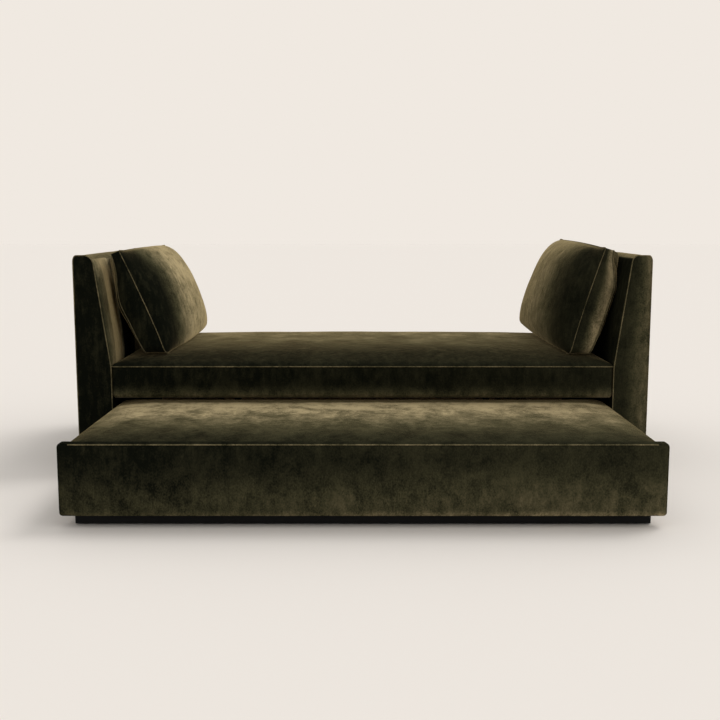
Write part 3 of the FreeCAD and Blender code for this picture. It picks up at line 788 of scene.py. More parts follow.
@dataclass(frozen=True)
class Velvet:
    """Cotton velvet with a short crushed pile.

    Attributes:
        deep: Colour where the pile stands up.
        ruffled: Colour where the pile is a little disturbed.
        painted_light_and_nap: The lightest colour, which the painted light reaches on lit tops and edges, and
            where the pile lies over.
        glow: Tint of the pile's edges at a low angle.
        spread: How wide the glow is.
        half_width: Half the width over which the colour is painted lighter towards the right, a painted light
            from the right side.
    """

    deep: Colour = (0.0055, 0.0064, 0.0042)
    ruffled: Colour = (0.052, 0.0485, 0.0250)
    painted_light_and_nap: Colour = (0.42, 0.335, 0.185)
    glow: Colour = (0.54, 0.41, 0.20)
    spread: float = 0.27
    half_width: float = 1.145

    def material(self) -> Material:
        """Build the velvet.

        Returns:
            The velvet as a material.
        """
        graph = Graph(bpy.data.materials.new("olive_velvet"))
        place = graph.place()
        patches = graph.noise(graph.place((8.5, 4.6, 7.0)), 1.0, 3.0, 0.55, 0.5)
        strokes = graph.noise(graph.place((30.0, 22.0, 24.0)), 1.0, 3.0, 0.6, 0.3)
        grain = graph.noise(graph.place((210.0, 210.0, 150.0)), 1.0, 2.0, 0.6)
        pile = graph.noise(place, 480.0, 2.0, 0.6)
        mottle = graph.sum(patches, strokes, 0.75)
        nap = graph.sum(graph.sum(mottle, grain, 0.9), pile, 0.3)
        lying = graph.range(nap, (1.17, 1.78), (0.0, 1.0))
        # A painted light from the right side: the colour grows a little lighter towards the right end.
        across = graph.range(graph.axis(place, X), (-self.half_width, self.half_width), (-0.008, 0.022))
        wisps = graph.noise(graph.place((55.0, 55.0, 12.0)), 1.0, 3.0, 0.6)
        # Painted light and shade noted at each point, with the pile's random tone and wisps, moves the colour
        # from deep towards the lightest.
        hand = graph.math("MULTIPLY", graph.noted(PAINTED_LIGHT_AND_NAP), graph.range(wisps, (0.3, 0.7), (0.55, 1.45)))
        reach = graph.range(hand, (-0.25, 4.0), (0.02, 1.1))
        shade = graph.sum(graph.sum(graph.math("MULTIPLY", lying, reach), hand, 0.06), across, 1.0)
        laid = graph.bump(graph.noted(LAID), 1.0, 1.0)
        lean = graph.bump(graph.sum(patches, strokes, 0.5), 1.0, 0.005, laid)
        rough = graph.bump(grain, 0.6, 0.0012, lean)
        fibre = graph.bump(pile, 0.5, 0.0005, rough)
        dark = graph.blend(graph.range(shade, (0.0, 0.12), (0.0, 1.0)), self.deep, self.ruffled)
        colour = graph.blend(graph.range(shade, (0.12, 1.0), (0.0, 1.0)), dark, self.painted_light_and_nap)
        return graph.finish(Base_Color=colour, Roughness=0.9, Specular_IOR_Level=0.0, Normal=fibre,
                            Sheen_Weight=1.0, Sheen_Roughness=self.spread, Sheen_Tint=self.glow)


@dataclass(frozen=True)
class Timber:
    """Wood with its grain along one axis.

    Attributes:
        name: The material's name.
        early: Colour of the pale growth.
        late: Colour of the dark growth.
        stretch: How the grain is squeezed on each axis.
        roughness: How matt the wood is.
        gloss: How much it mirrors.
    """

    name: str
    early: Colour
    late: Colour
    stretch: tuple[float, float, float] = (1.0, 18.0, 18.0)
    roughness: float = 0.6
    gloss: float = 0.5

    def material(self) -> Material:
        """Build the wood.

        Returns:
            The wood as a material.
        """
        graph = Graph(bpy.data.materials.new(self.name))
        rings = graph.noise(graph.place(self.stretch), 3.2, 4.0, 0.55, 0.7)
        pores = graph.noise(graph.place([each * 9.0 for each in self.stretch]), 4.0, 2.0, 0.6)
        grain = graph.range(graph.sum(rings, pores, 0.35), (0.42, 0.95), (0.0, 1.0))
        dull = graph.range(pores, (0.0, 1.0), (self.roughness - 0.08, self.roughness + 0.1))
        return graph.finish(Base_Color=graph.blend(grain, self.early, self.late), Roughness=dull,
                            Specular_IOR_Level=self.gloss, Normal=graph.bump(pores, 0.25, 0.0008))


@dataclass(frozen=True)
class Speckle:
    """A plain stuff whose colour and surface vary finely, such as board, rubber, plastic or cloth.

    Attributes:
        name: The material's name.
        dark: The darker colour.
        light: The lighter colour.
        grain: How fine the variation is, in features per metre.
        roughness: How matt the surface is.
        depth: How deep the surface's unevenness is.
        metal: How metallic it is, 0 or 1.
    """

    name: str
    dark: Colour
    light: Colour
    grain: float
    roughness: float
    depth: float
    metal: float = 0.0

    def material(self) -> Material:
        """Build the stuff.

        Returns:
            The stuff as a material.
        """
        graph = Graph(bpy.data.materials.new(self.name))
        place = graph.place()
        fine = graph.noise(place, self.grain, 3.0, 0.6)
        broad = graph.noise(place, self.grain / 20.0, 3.0, 0.5)
        shade = graph.range(graph.sum(fine, broad, 0.6), (0.5, 1.1), (0.0, 1.0))
        dull = graph.range(fine, (0.2, 0.8), (self.roughness - 0.07, self.roughness + 0.07))
        return graph.finish(Base_Color=graph.blend(shade, self.dark, self.light), Roughness=dull,
                            Metallic=self.metal, Normal=graph.bump(fine, 0.3, self.depth))


FINISHES = {
    Slot.VELVET: Velvet(),
    Slot.FOAM: Speckle("open_cell_foam", (0.62, 0.55, 0.36), (0.74, 0.68, 0.47), 700.0, 0.9, 0.001),
    Slot.PLYWOOD: Timber("birch_plywood", (0.60, 0.42, 0.22), (0.46, 0.29, 0.14)),
    Slot.PINE: Timber("planed_pine", (0.66, 0.46, 0.24), (0.48, 0.29, 0.12)),
    Slot.HARDBOARD: Speckle("pressed_hardboard", (0.085, 0.045, 0.02), (0.16, 0.09, 0.045), 500.0, 0.7,
                            0.0004),
    Slot.BLACK_STAIN: Timber("black_stained_beech", (0.006, 0.006, 0.006), (0.003, 0.003, 0.003),
                             roughness=0.62, gloss=0.15),
    Slot.DUST_CLOTH: Speckle("spunbonded_cloth", (0.006, 0.006, 0.006), (0.016, 0.016, 0.016), 900.0, 0.92,
                             0.0006),
    Slot.ZINC_STEEL: Speckle("bright_zinc", (0.42, 0.43, 0.44), (0.58, 0.58, 0.57), 240.0, 0.34, 0.0001,
                             metal=1.0),
    Slot.BUMPER_RUBBER: Speckle("black_rubber", (0.012, 0.012, 0.012), (0.024, 0.024, 0.023), 600.0, 0.78,
                                0.0003),
    Slot.NYLON: Speckle("black_nylon", (0.018, 0.018, 0.019), (0.034, 0.034, 0.035), 500.0, 0.42, 0.0001),
    Slot.ZIP_TAPE: Speckle("olive_zip_tape", (0.018, 0.017, 0.010), (0.035, 0.032, 0.018), 900.0, 0.8,
                           0.0005),
}


class Paint:
    """The finishes as materials, each made once."""

    made: dict[Slot, Material] = {}

    @classmethod
    def get(cls, slot: Slot) -> Material:
        """The material of a slot.

        Args:
            slot: The slot.

        Returns:
            Its material.
        """
        if slot not in cls.made:
            cls.made[slot] = FINISHES[slot].material()
        return cls.made[slot]

    @classmethod
    def fit(cls, obj: Object, body: str, slot: Slot, stands_for: Sequence[str] = ()) -> None:
        """Dress a piece and fit it to the frame.

        Args:
            obj: The piece.
            body: The body that it moves with.
            slot: Its finish.
            stands_for: The CAD nodes that it shows in place of.
        """
        obj.data.materials.clear()
        obj.data.materials.append(cls.get(slot))
        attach(obj, body)
        if stands_for:
            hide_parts(*stands_for)
        log.info("%s: %d faces on %s", obj.name, len(obj.data.polygons), body)

    @classmethod
    def dress_nodes(cls, nodes: dict[str, Object]) -> None:
        """Give each CAD node that shows its finish.

        Args:
            nodes: The CAD nodes by name.
        """
        for name, obj in nodes.items():
            if obj.hide_render:
                continue
            slot = Slot(obj.data.materials[0].name.split(".")[0])
            for place in range(len(obj.material_slots)):
                obj.material_slots[place].material = cls.get(slot)
            log.info("%s keeps its solid, in %s", name, slot.value)


def corners(node: str) -> tuple[Points, Points]:
    """The lowest and highest corners of a CAD node."""
    low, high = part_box(node)
    return np.array(low), np.array(high)


@dataclass(kw_only=True)
class Upholstery:
    """What the upholstered pieces have in common.

    Attributes:
        cell: The size of the grid's faces.
        pull: How much the grid crowds at the edges.
        swell: How the cloth is blown up.
        ruffle: How high the cloth's unevenness is, and how many waves of it a metre holds.
        fill: How tight the padding is, up to 1; not used.
        crisp: The angle in degrees from which an edge stays crisp.
        crease: How crisp the seams stay when the mesh is softened, up to 1.
        welt_radius: The welt cords' radius.
        welt_proud: How much of that radius a cord's middle stands out from its seam.
    """

    cell: float = 0.0148
    pull: float = 1.0
    swell: Swell = Swell(pressure=1.0, cap=0.004)
    ruffle: Pair = (0.0012, 6.0)
    fill: float = 0.9
    crisp: float = 60.0
    crease: float = 1.0
    welt_radius: float = 0.0021
    welt_proud: float = 0.6

    def cut(self, name: str, low: Points, high: Points) -> Pad:
        """The gridded box that a piece is shaped from."""
        return Pad(name, low, high, self.cell, self.pull)

    def finish(self, pad: Pad, body: str, stands_for: Sequence[str], welts: str = "",
               seams: Sequence[Mask] = ()) -> None:
        """Soften a piece, sew its welts on and fit both to the frame, in velvet.

        Args:
            pad: The shaped piece.
            body: The body that it moves with.
            stands_for: The CAD nodes that it shows in place of.
            welts: The name of its welts, if it has any.
            seams: The points of each welt's seam, as the box was first cut.
        """
        Bench.subdivide(pad.obj)
        Bench.smooth(pad.obj, self.crisp)
        cord = pad.sew(welts, seams, self.welt_radius, self.welt_proud) if welts else None
        Paint.fit(pad.obj, body, Slot.VELVET, stands_for)
        if cord:
            Paint.fit(cord, body, Slot.VELVET)


@dataclass(frozen=True)
class ArmLightAndLay:
    """How light and shade are painted into an arm's velvet colour, how its pile is laid, and how its top
    edges round.

    Attributes:
        ends: The painted light and shade on the front and back panels, at their outer and inner edges,
            lighter towards the side the light comes from.
        inside: The painted light and shade on the inner face, at some distances back from the front: on the
            left a lit band and then the pillow's painted shadow, on the right painted shade, as it faces away
            from the light.
        under: The painted shade on the inner face below the seat, and the slope of the pile's lay there.
        crest: How much more light is painted on the inner face close to its top.
        top: The painted light on the top.
        laid: The height of the pile's lay on the inner face, at some distances back from the front.
        rounds: The radii of the inner and the outer top edge.
    """

    ends: Pair
    inside: Sequence[Pair]
    under: Pair
    crest: float
    top: float
    laid: Sequence[Pair]
    rounds: Pair


# Painted light and shade for each arm: lighter where the light from the right falls, darker in the pillows'
# shadows and under the seat.
ARM_LIGHT_AND_LAY = {
    Side.LEFT: ArmLightAndLay(
        ends=(-0.17, -0.17),
        inside=((0.0, 0.2), (0.07, 0.6), (0.15, 5.0), (0.20, 5.5), (0.24, -0.25), (0.34, -0.2), (0.9, 0.6)),
        under=(-0.25, 0.6),
        crest=2.5,
        top=0.8,
        laid=((0.03, 0.0), (0.08, -0.006), (0.12, -0.02), (0.16, -0.042), (0.2, -0.07), (0.34, 0.014),
              (0.42, 0.04)),
        rounds=(0.034, 0.014),
    ),
    Side.RIGHT: ArmLightAndLay(
        ends=(0.75, -0.12),
        inside=((0.0, -0.25),),
        under=(-0.25, 0.6),
        crest=0.0,
        top=0.8,
        laid=((0.0, 0.0), (1.0, 0.6)),
        rounds=(0.022, 0.014),
    ),
}


@dataclass(kw_only=True)
class ArmRest(Upholstery):
    """A wedge arm: upright outside, raked inside, with welted front and back panels.

    Attributes:
        side: Which end it stands at.
        top_thickness: Its thickness at the top.
        rake_start: The height where its inner face starts to rake.
        padding: How far its inner face swells.
        inner_rolls: How wide that swell rolls off at the front and back, over the seat and at the top.
        firm_padding: How far its other faces swell.
        outer_roll: How wide the outer face's swell rolls off.
        end_rolls: How wide the front and back panels' swell rolls off, sideways and upwards.
        loose: Over which height above the seat the inner face's cloth comes free.
        crest_span: How far below the top the extra painted light on the inner face starts, and where it is
            full.
        panel_span: Where across its front and back panels, from 0 outside to 1 inside, the painted light
            changes.
    """

    side: Side
    top_thickness: float = 0.074
    rake_start: float = 0.424
    padding: float = 0.011
    inner_rolls: tuple[float, float, float] = (0.07, 0.16, 0.10)
    firm_padding: float = 0.003
    outer_roll: float = 0.09
    end_rolls: Pair = (0.03, 0.05)
    loose: float = 0.05
    crest_span: Pair = (0.11, 0.02)
    panel_span: Pair = (0.0, 0.8)
    cell: float = 0.0125
    swell: Swell = Swell(pressure=2.5, cap=0.004)
    ruffle: Pair = (0.001, 6.0)
    crisp: float = 48.0
    welt_proud: float = 0.5

    @property
    def name(self) -> str:
        """The arm's name."""
        return self.side.word + "_arm"

    def build(self) -> Object:
        """Model the arm and fit it.

        Returns:
            The upholstered arm.
        """
        pad = self.cut(self.name + "_upholstery", *corners(self.name + "_cover"))
        self.shape(pad)
        rims = [pad.rim(Y, sign) for sign in (-1, 1)]
        lower = pad.on(Z, -1)
        seam = np.minimum(pad.inset(Y), np.maximum(pad.inset(X), pad.inset(Z)))
        free = self.swell.free(seam) * ~lower
        free *= step(self.above_seat(pad), 0.0, self.loose) + (self.depth(pad) < 0.5)
        free = np.clip(free, 0.0, 1.0)
        pad.swell(self.swell, free)
        pad.ruffle(free, *self.ruffle)
        self.brush(pad)
        pad.crease(rims, self.crease)
        sewn = ~lower | (np.abs(pad.unit[:, X]) > ON_FACE)
        self.finish(pad, "daybed", [self.name + "_cover", self.name + "_foam"], self.name + "_welts",
                    [rim & sewn for rim in rims])
        return pad.obj

    def brush(self, pad: Pad) -> None:
        """Paint light and shade into the arm's velvet colour, and lay its pile.

        Args:
            pad: The shaped arm.
        """
        # nap holds the arm's painted light and shade and its pile's lay.
        nap = ARM_LIGHT_AND_LAY[self.side]
        back = pad.past(Y)
        above = self.above_seat(pad)
        crest_start, crest_full = above.max() - np.array(self.crest_span)
        inside = np.interp(back, *zip(*nap.inside)) + nap.crest * step(above, crest_start, crest_full)
        laid = np.interp(back, *zip(*nap.laid))
        under_seat_shade, under_slope = nap.under
        inner = pad.on(X, -self.side.value)
        # The inner face: painted light and the pillow's painted shadow above the seat, painted shade below
        # it.
        painted_light_and_nap = np.where(inner, np.where(above > 0.0, inside, under_seat_shade), 0.0)
        painted_light_and_nap = np.where(pad.on(Z, 1), nap.top, painted_light_and_nap)
        # The front and back panels: painted light across their width, lighter towards the right arm's outer
        # edge.
        ends = between(nap.ends, step(self.depth(pad), *self.panel_span))
        Bench.note(pad.obj, PAINTED_LIGHT_AND_NAP, np.where(pad.on(Y, 1) | pad.on(Y, -1), ends, painted_light_and_nap))
        Bench.lay(pad.obj, np.where(above > 0.0, laid, under_slope * back), inner)

    def depth(self, pad: Pad) -> Points:
        """How far each point lies from the outer face, from 0 to 1 at the inner face."""
        return (1.0 - pad.unit[:, X] * self.side.value) / 2

    def above_seat(self, pad: Pad) -> Points:
        """How far each point lies above the start of the rake."""
        return pad.middle[Z] + pad.unit[:, Z] * pad.half[Z] - self.rake_start

    def shape(self, pad: Pad) -> None:
        """Rake the inner face, round the top edges and swell the faces.

        Args:
            pad: The arm's gridded box.
        """
        places = pad.points
        base = 2 * pad.half[X]
        top = float(pad.high[Z])
        depth = self.depth(pad)
        climb = np.clip((places[:, Z] - self.rake_start) / (top - self.rake_start), 0.0, 1.0)
        thickness = between((base, self.top_thickness), climb)
        flat = np.stack((depth * thickness, places[:, Z]), axis=1)
        upper = pad.on(Z, 1)
        outside, inside = pad.on(X, self.side.value), pad.on(X, -self.side.value)
        inner_radius, outer_radius = ARM_LIGHT_AND_LAY[self.side].rounds
        bend_corner(flat, outside, upper, np.array((0.0, top)), np.array((0.0, 1.0)), np.array((1.0, 0.0)),
                    outer_radius)
        fall = np.array((base - self.top_thickness, self.rake_start - top))
        bend_corner(flat, upper, inside, np.array((self.top_thickness, top)), np.array((1.0, 0.0)),
                    fall / np.linalg.norm(fall), inner_radius)
        outer_x = pad.high[X] if self.side is Side.RIGHT else pad.low[X]
        places[:, X] = outer_x - self.side.value * flat[:, 0]
        places[:, Z] = flat[:, 1]
        pad.points = places
        ends = pad.on(Y, 1) | pad.on(Y, -1)
        rim = pad.rim(Y, 1) | pad.rim(Y, -1)
        pad.relax(ends & ~rim, (X, Z), EVEN_ROUNDS)
        places = pad.points
        insets = pad.inset(Y), np.maximum(self.above_seat(pad), 0.0), pad.inset(Z)
        swell_in = math.prod(ease(inset, roll) for inset, roll in zip(insets, self.inner_rolls))
        places[inside, X] -= self.side.value * self.padding * swell_in[inside]
        swell_out = ease(pad.inset(Y), self.outer_roll) * ease(pad.inset(Z), self.outer_roll)
        places[outside, X] += self.side.value * self.firm_padding * swell_out[outside]
        swell_end = ease(pad.inset(X), self.end_rolls[0]) * ease(pad.inset(Z), self.end_rolls[1])
        for sign in (-1, 1):
            face = pad.on(Y, sign)
            places[face, Y] += sign * self.firm_padding * swell_end[face]
        pad.points = places


@dataclass(kw_only=True)
class BenchSeat(Upholstery):
    """The tight bench seat: a border, a welted top edge and a crown.

    Attributes:
        border: The border's height.
        roll: How wide the crown's roll is.
        dome: How much higher than the crown its middle stands.
        hem: How far the border hangs below the rails.
        corner: The radius of its upright corners.
        underside: The radius at which the border turns under at the front and back.
        end_underside: The same at the two ends.
        padding: How far the border swells.
        border_roll: How wide that swell rolls off.
        top_light: How much light is painted on its top, at the front and the back, darker at the front and
            lighter at the back.
        light_span: Between which distances from the front that changes.
        strokes: How far the brushing is stroked to and fro.
        stroke_span: Between which distances from the front the strokes set in.
        border_light: How much light is painted on the border, at its top and its hem, lighter near the hem
            where it turns under.
        hem_fade: How high that reaches above the hem, and the power that it fades with.
        laid: The height of the pile's lay at the front.
        laid_fade: How far back that reaches, and the power that it fades with.
    """

    border: float = 0.128
    roll: float = 0.34
    dome: float = 0.008
    hem: float = 0.001
    corner: float = 0.012
    underside: float = 0.012
    end_underside: float = 0.006
    padding: float = 0.004
    border_roll: float = 0.05
    top_light: Pair = (-0.15, 1.55)
    light_span: Pair = (0.1, 1.0)
    strokes: float = 1.1
    stroke_span: Pair = (0.15, 0.6)
    border_light: Pair = (-0.16, 1.34)
    hem_fade: Pair = (0.070, 2.5)
    laid: float = -0.034
    laid_fade: Pair = (0.95, 2.0)
    pull: float = 1.25
    swell: Swell = Swell(pressure=1.2, cap=0.005, held=0.05, drawn=0.07, shrink=-0.03)
    ruffle: Pair = (0.0012, 5.0)
    fill: float = 0.85

    def build(self) -> Object:
        """Model the seat and fit it.

        Returns:
            The upholstered seat.
        """
        low, high = corners("seat_cover")
        crown = high[Z] - low[Z] - self.border
        high[Z] = low[Z] + self.border
        low[Z] -= self.hem
        pad = self.cut("seat_upholstery", low, high)
        edge = nearest(pad.inset(X), pad.inset(Y))
        self.shape(pad, edge, crown)
        upper, rim = pad.on(Z, 1), pad.rim(Z, 1)
        free = self.swell.free(edge) * upper
        pad.swell(self.swell, free, self.swell.tight(edge) * upper)
        pad.ruffle(free, *self.ruffle)
        back = pad.past(Y)
        # Painted light: the border lighter near its hem, the top darker at the front and lighter towards the
        # back, with random strokes of the pile's own tone.
        border = between(self.border_light, fade(pad.past(Z), *self.hem_fade))
        top = between(self.top_light, step(back, *self.light_span))
        top += self.strokes * pad.stroked(STROKE_WAVES) * step(back, *self.stroke_span)
        Bench.note(pad.obj, PAINTED_LIGHT_AND_NAP, np.where(upper, top, border))
        Bench.note(pad.obj, LAID, self.laid * fade(back, *self.laid_fade))
        pad.crease([rim], self.crease)
        self.finish(pad, "daybed", ["seat_cover", "seat_foam"], "seat_welt", [rim])
        return pad.obj

    def shape(self, pad: Pad, edge: Points, crown: float) -> None:
        """Round the corners, turn the border under and raise the crown.

        Args:
            pad: The seat's gridded box.
            edge: How far in each point lies from the box's sides.
            crown: How high the crown rises.
        """
        places = pad.points
        plan = [X, Y]
        height = places[:, Z] - pad.low[Z]
        flat = round_plan(places[:, plan] - pad.middle[plan], pad.half[plan], self.corner)
        turn = np.stack((tuck(height, self.end_underside), tuck(height, self.underside)), axis=1)
        places[:, plan] = flat * (1.0 - turn / pad.half[plan]) + pad.middle[plan]
        upper = pad.on(Z, 1)
        dome = self.dome * np.cos(pad.unit[:, X] * math.pi / 2) * np.cos(pad.unit[:, Y] * math.pi / 2)
        places[upper, Z] += (crown * ease(edge, self.roll) + dome)[upper]
        swell = self.padding * ease(pad.inset(Z), self.border_roll) * ease(pad.inset(X), self.border_roll)
        for sign in (-1, 1):
            face = pad.on(Y, sign)
            places[face, Y] += sign * swell[face]
        pad.points = places


@dataclass(kw_only=True)
class TrundleFront(Upholstery):
    """The trundle's padded front panel.

    Attributes:
        edge: The radius of its corners and front edges.
        padding: How far its face swells.
        roll: How wide that swell rolls off.
        width_span: Where along its width, from -1 to 1, its left and its right part meet.
        top_light: How much light is painted on it at its top, at the left and the right.
        low_light: How much more light is painted on it low down, at the left and the right, and up to which
            height.
        laid: How steeply the pile's lay climbs over its edges.
        welt_span: How much of the panel's width the welt along its top runs over.
    """

    edge: float = 0.013
    padding: float = 0.006
    roll: float = 0.07
    width_span: Pair = (-0.8, 0.6)
    top_light: Pair = (-0.15, -0.03)
    low_light: Sequence[tuple[Pair, float]] = (((0.45, 0.70), 0.2), ((0.5, 1.6), 0.022))
    laid: float = 0.45
    welt_span: float = 0.965
    cell: float = 0.0095
    pull: float = 1.35
    swell: Swell = Swell(pressure=1.5, cap=0.003)
    ruffle: Pair = (0.0012, 7.0)
    welt_radius: float = 0.0022
    welt_proud: float = 0.8

    def build(self) -> None:
        """Model the panel and fit it."""
        low, high = corners("trundle_front_cover")
        pad = self.cut("trundle_front_upholstery", low, high)
        square_back = np.array((0.0, self.edge, 0.0))
        places = round_box(pad.points, low, high + square_back, self.edge)
        edge = nearest(pad.inset(X), pad.inset(Z))
        front = pad.on(Y, -1)
        places[front, Y] += (self.padding * (1.0 - ease(edge, self.roll)))[front]
        pad.points = places
        free = self.swell.free(edge) * front
        pad.swell(self.swell, free)
        pad.ruffle(free, *self.ruffle)
        # Painted light: the panel darker at its top and left, lighter low down and towards the right.
        right = step(pad.unit[:, X], *self.width_span)
        painted_light_and_nap = between(self.top_light, right)
        for sides, reach in self.low_light:
            painted_light_and_nap += between(sides, right) * (1.0 - step(pad.past(Z), 0.0, reach))
        Bench.note(pad.obj, PAINTED_LIGHT_AND_NAP, painted_light_and_nap)
        Bench.note(pad.obj, LAID, self.laid * pad.past(Y))
        seam = pad.rim(Y, -1) & pad.on(Z, 1) & (np.abs(pad.unit[:, X]) < self.welt_span)
        nodes = ["trundle_front_cover", "trundle_front_foam"]
        self.finish(pad, "trundle", nodes, "trundle_front_welt", [seam])


@dataclass(kw_only=True)
class TrundleMattress(Upholstery):
    """The trundle's crowned mattress.

    Attributes:
        crown: How high the top rises above its edge.
        roll: How wide the crown's roll is.
        slack: How far the crown is left down for the cloth to swell up.
        corner: The radius of its corners.
        bulge: How far its sides swell out over the trundle's boards.
        bulge_rise: Over which height above the boards they do so.
        even_span: Between which distances from the front its unevenness ends.
        brush: How much light is painted on its top at the back.
        light_span: Between which distances from the front the painted light grows.
        light_power: More than 1 makes it grow later.
        end_shade: How much of the painted light is left at its two ends, a painted shade where they roll
            down.
        end_reach: How far in from them it is whole.
        strokes: How much of the brushing is stroked to and fro.
        under_seat_shade: How much shade is painted on it under the seat, a painted shadow of the seat.
        seat_span: Between which distances from the front that sets in.
        laid: The height of the pile's lay at the front.
        laid_fade: How far back that reaches, and the power that it fades with.
    """

    crown: float = 0.024
    roll: float = 0.15
    slack: float = 0.004
    corner: float = 0.06
    bulge: float = 0.024
    bulge_rise: float = 0.035
    even_span: Pair = (0.6, 0.7)
    brush: float = 6.3
    light_span: Pair = (0.02, 0.9)
    light_power: float = 1.5
    end_shade: float = 0.3
    end_reach: float = 0.10
    strokes: float = 0.8
    under_seat_shade: float = -0.3
    seat_span: Pair = (0.70, 0.735)
    laid: float = -0.065
    laid_fade: Pair = (0.8, 2.5)
    pull: float = 1.25
    swell: Swell = Swell(pressure=1.0, cap=0.004, held=0.05, drawn=0.1, shrink=-0.03)
    fill: float = 0.8

    def build(self) -> None:
        """Model the mattress and fit it."""
        low, high = corners("trundle_mattress_cover")
        high[Z] -= self.crown
        pad = self.cut("trundle_mattress", low, high)
        edge = nearest(pad.inset(X), pad.inset(Y))
        self.shape(pad, edge)
        upper = pad.on(Z, 1)
        free = self.swell.free(edge) * upper
        pad.swell(self.swell, free, self.swell.tight(edge) * upper)
        back = pad.past(Y)
        pad.ruffle(free * (1.0 - step(back, *self.even_span)), *self.ruffle)
        # Painted light: the top lighter towards the back and less so at the ends, with random strokes of the
        # pile's own tone, and a painted shadow under the seat.
        painted_light_and_nap = self.brush * step(back, *self.light_span) ** self.light_power
        painted_light_and_nap *= between((self.end_shade, 1.0), step(pad.inset(X), 0.0, self.end_reach))
        painted_light_and_nap *= np.clip(1.0 + self.strokes * pad.stroked(STROKE_WAVES), 0.0, 2.0)
        Bench.note(pad.obj, PAINTED_LIGHT_AND_NAP, between((painted_light_and_nap, self.under_seat_shade), step(back, *self.seat_span)))
        Bench.note(pad.obj, LAID, self.laid * fade(back, *self.laid_fade))
        self.finish(pad, "trundle", ["trundle_mattress_" + part for part in ("cover", "core", "zip")])

    def shape(self, pad: Pad, edge: Points) -> None:
        """Round the corners, swell the sides out over the boards and raise the crown.

        Args:
            pad: The mattress's gridded box.
            edge: How far in each point lies from the box's sides.
        """
        board_top = corners("trundle_left_side")[1][Z]
        places = pad.points
        plan = [X, Y]
        flat = round_plan(places[:, plan] - pad.middle[plan], pad.half[plan], self.corner)
        proud = self.bulge * step(places[:, Z], board_top, board_top + self.bulge_rise)
        flat[:, 0] *= 1.0 + proud / pad.half[X]
        places[:, plan] = flat + pad.middle[plan]
        upper = pad.on(Z, 1)
        places[upper, Z] += ((self.crown - self.slack) * ease(edge, self.roll))[upper]
        pad.points = places


@dataclass(frozen=True)
class Lean:
    """How a pillow stands against its arm, at its front end and its back end.

    Attributes:
        slide: How far its foot stands further out than its solid's does.
        lift: How far its foot stands higher than its solid's does.
        tilt: How far it leans, in degrees.
        height: The pillow's height along its lean.
        nip: How far from its corners its boxing starts to narrow.
    """

    slide: Pair
    lift: Pair
    tilt: Pair
    height: Pair
    nip: float


LEANS = {
    Side.LEFT: Lean(slide=(0.002, -0.035), lift=(-0.018, 0.014), tilt=(23.4, 27.6), height=(0.435, 0.413),
                    nip=0.22),
    Side.RIGHT: Lean(slide=(0.047, -0.025), lift=(-0.022, 0.030), tilt=(17.0, 26.0), height=(0.438, 0.423),
                     nip=0.15),
}


@dataclass(frozen=True)
class PillowLight:
    """How light and shade are painted into a pillow's velvet colour.

    Attributes:
        face: The painted light on its face, at the front and further back, dark at the front and lighter
            further back.
        change: Where along it the face changes, from -1 at its front end.
        back: The painted shade on its back, against the arm.
        strip: The painted light on its boxing, at the face's seam and at the back's, lighter at the back's
            seam of the right pillow, which faces the light.
    """

    face: Pair
    change: Pair
    back: float
    strip: Pair


# Painted light and shade for each pillow: faces lighter further back where the light grazes them, backs in
# shade against the arms.
PILLOW_LIGHTS = {
    Side.LEFT: PillowLight(face=(-0.2, 4.4), change=(-0.85, -0.05), back=-0.2, strip=(-0.2, -0.1)),
    Side.RIGHT: PillowLight(face=(-0.18, 1.8), change=(-0.85, 0.2), back=-0.2, strip=(-0.1, 3.6)),
}


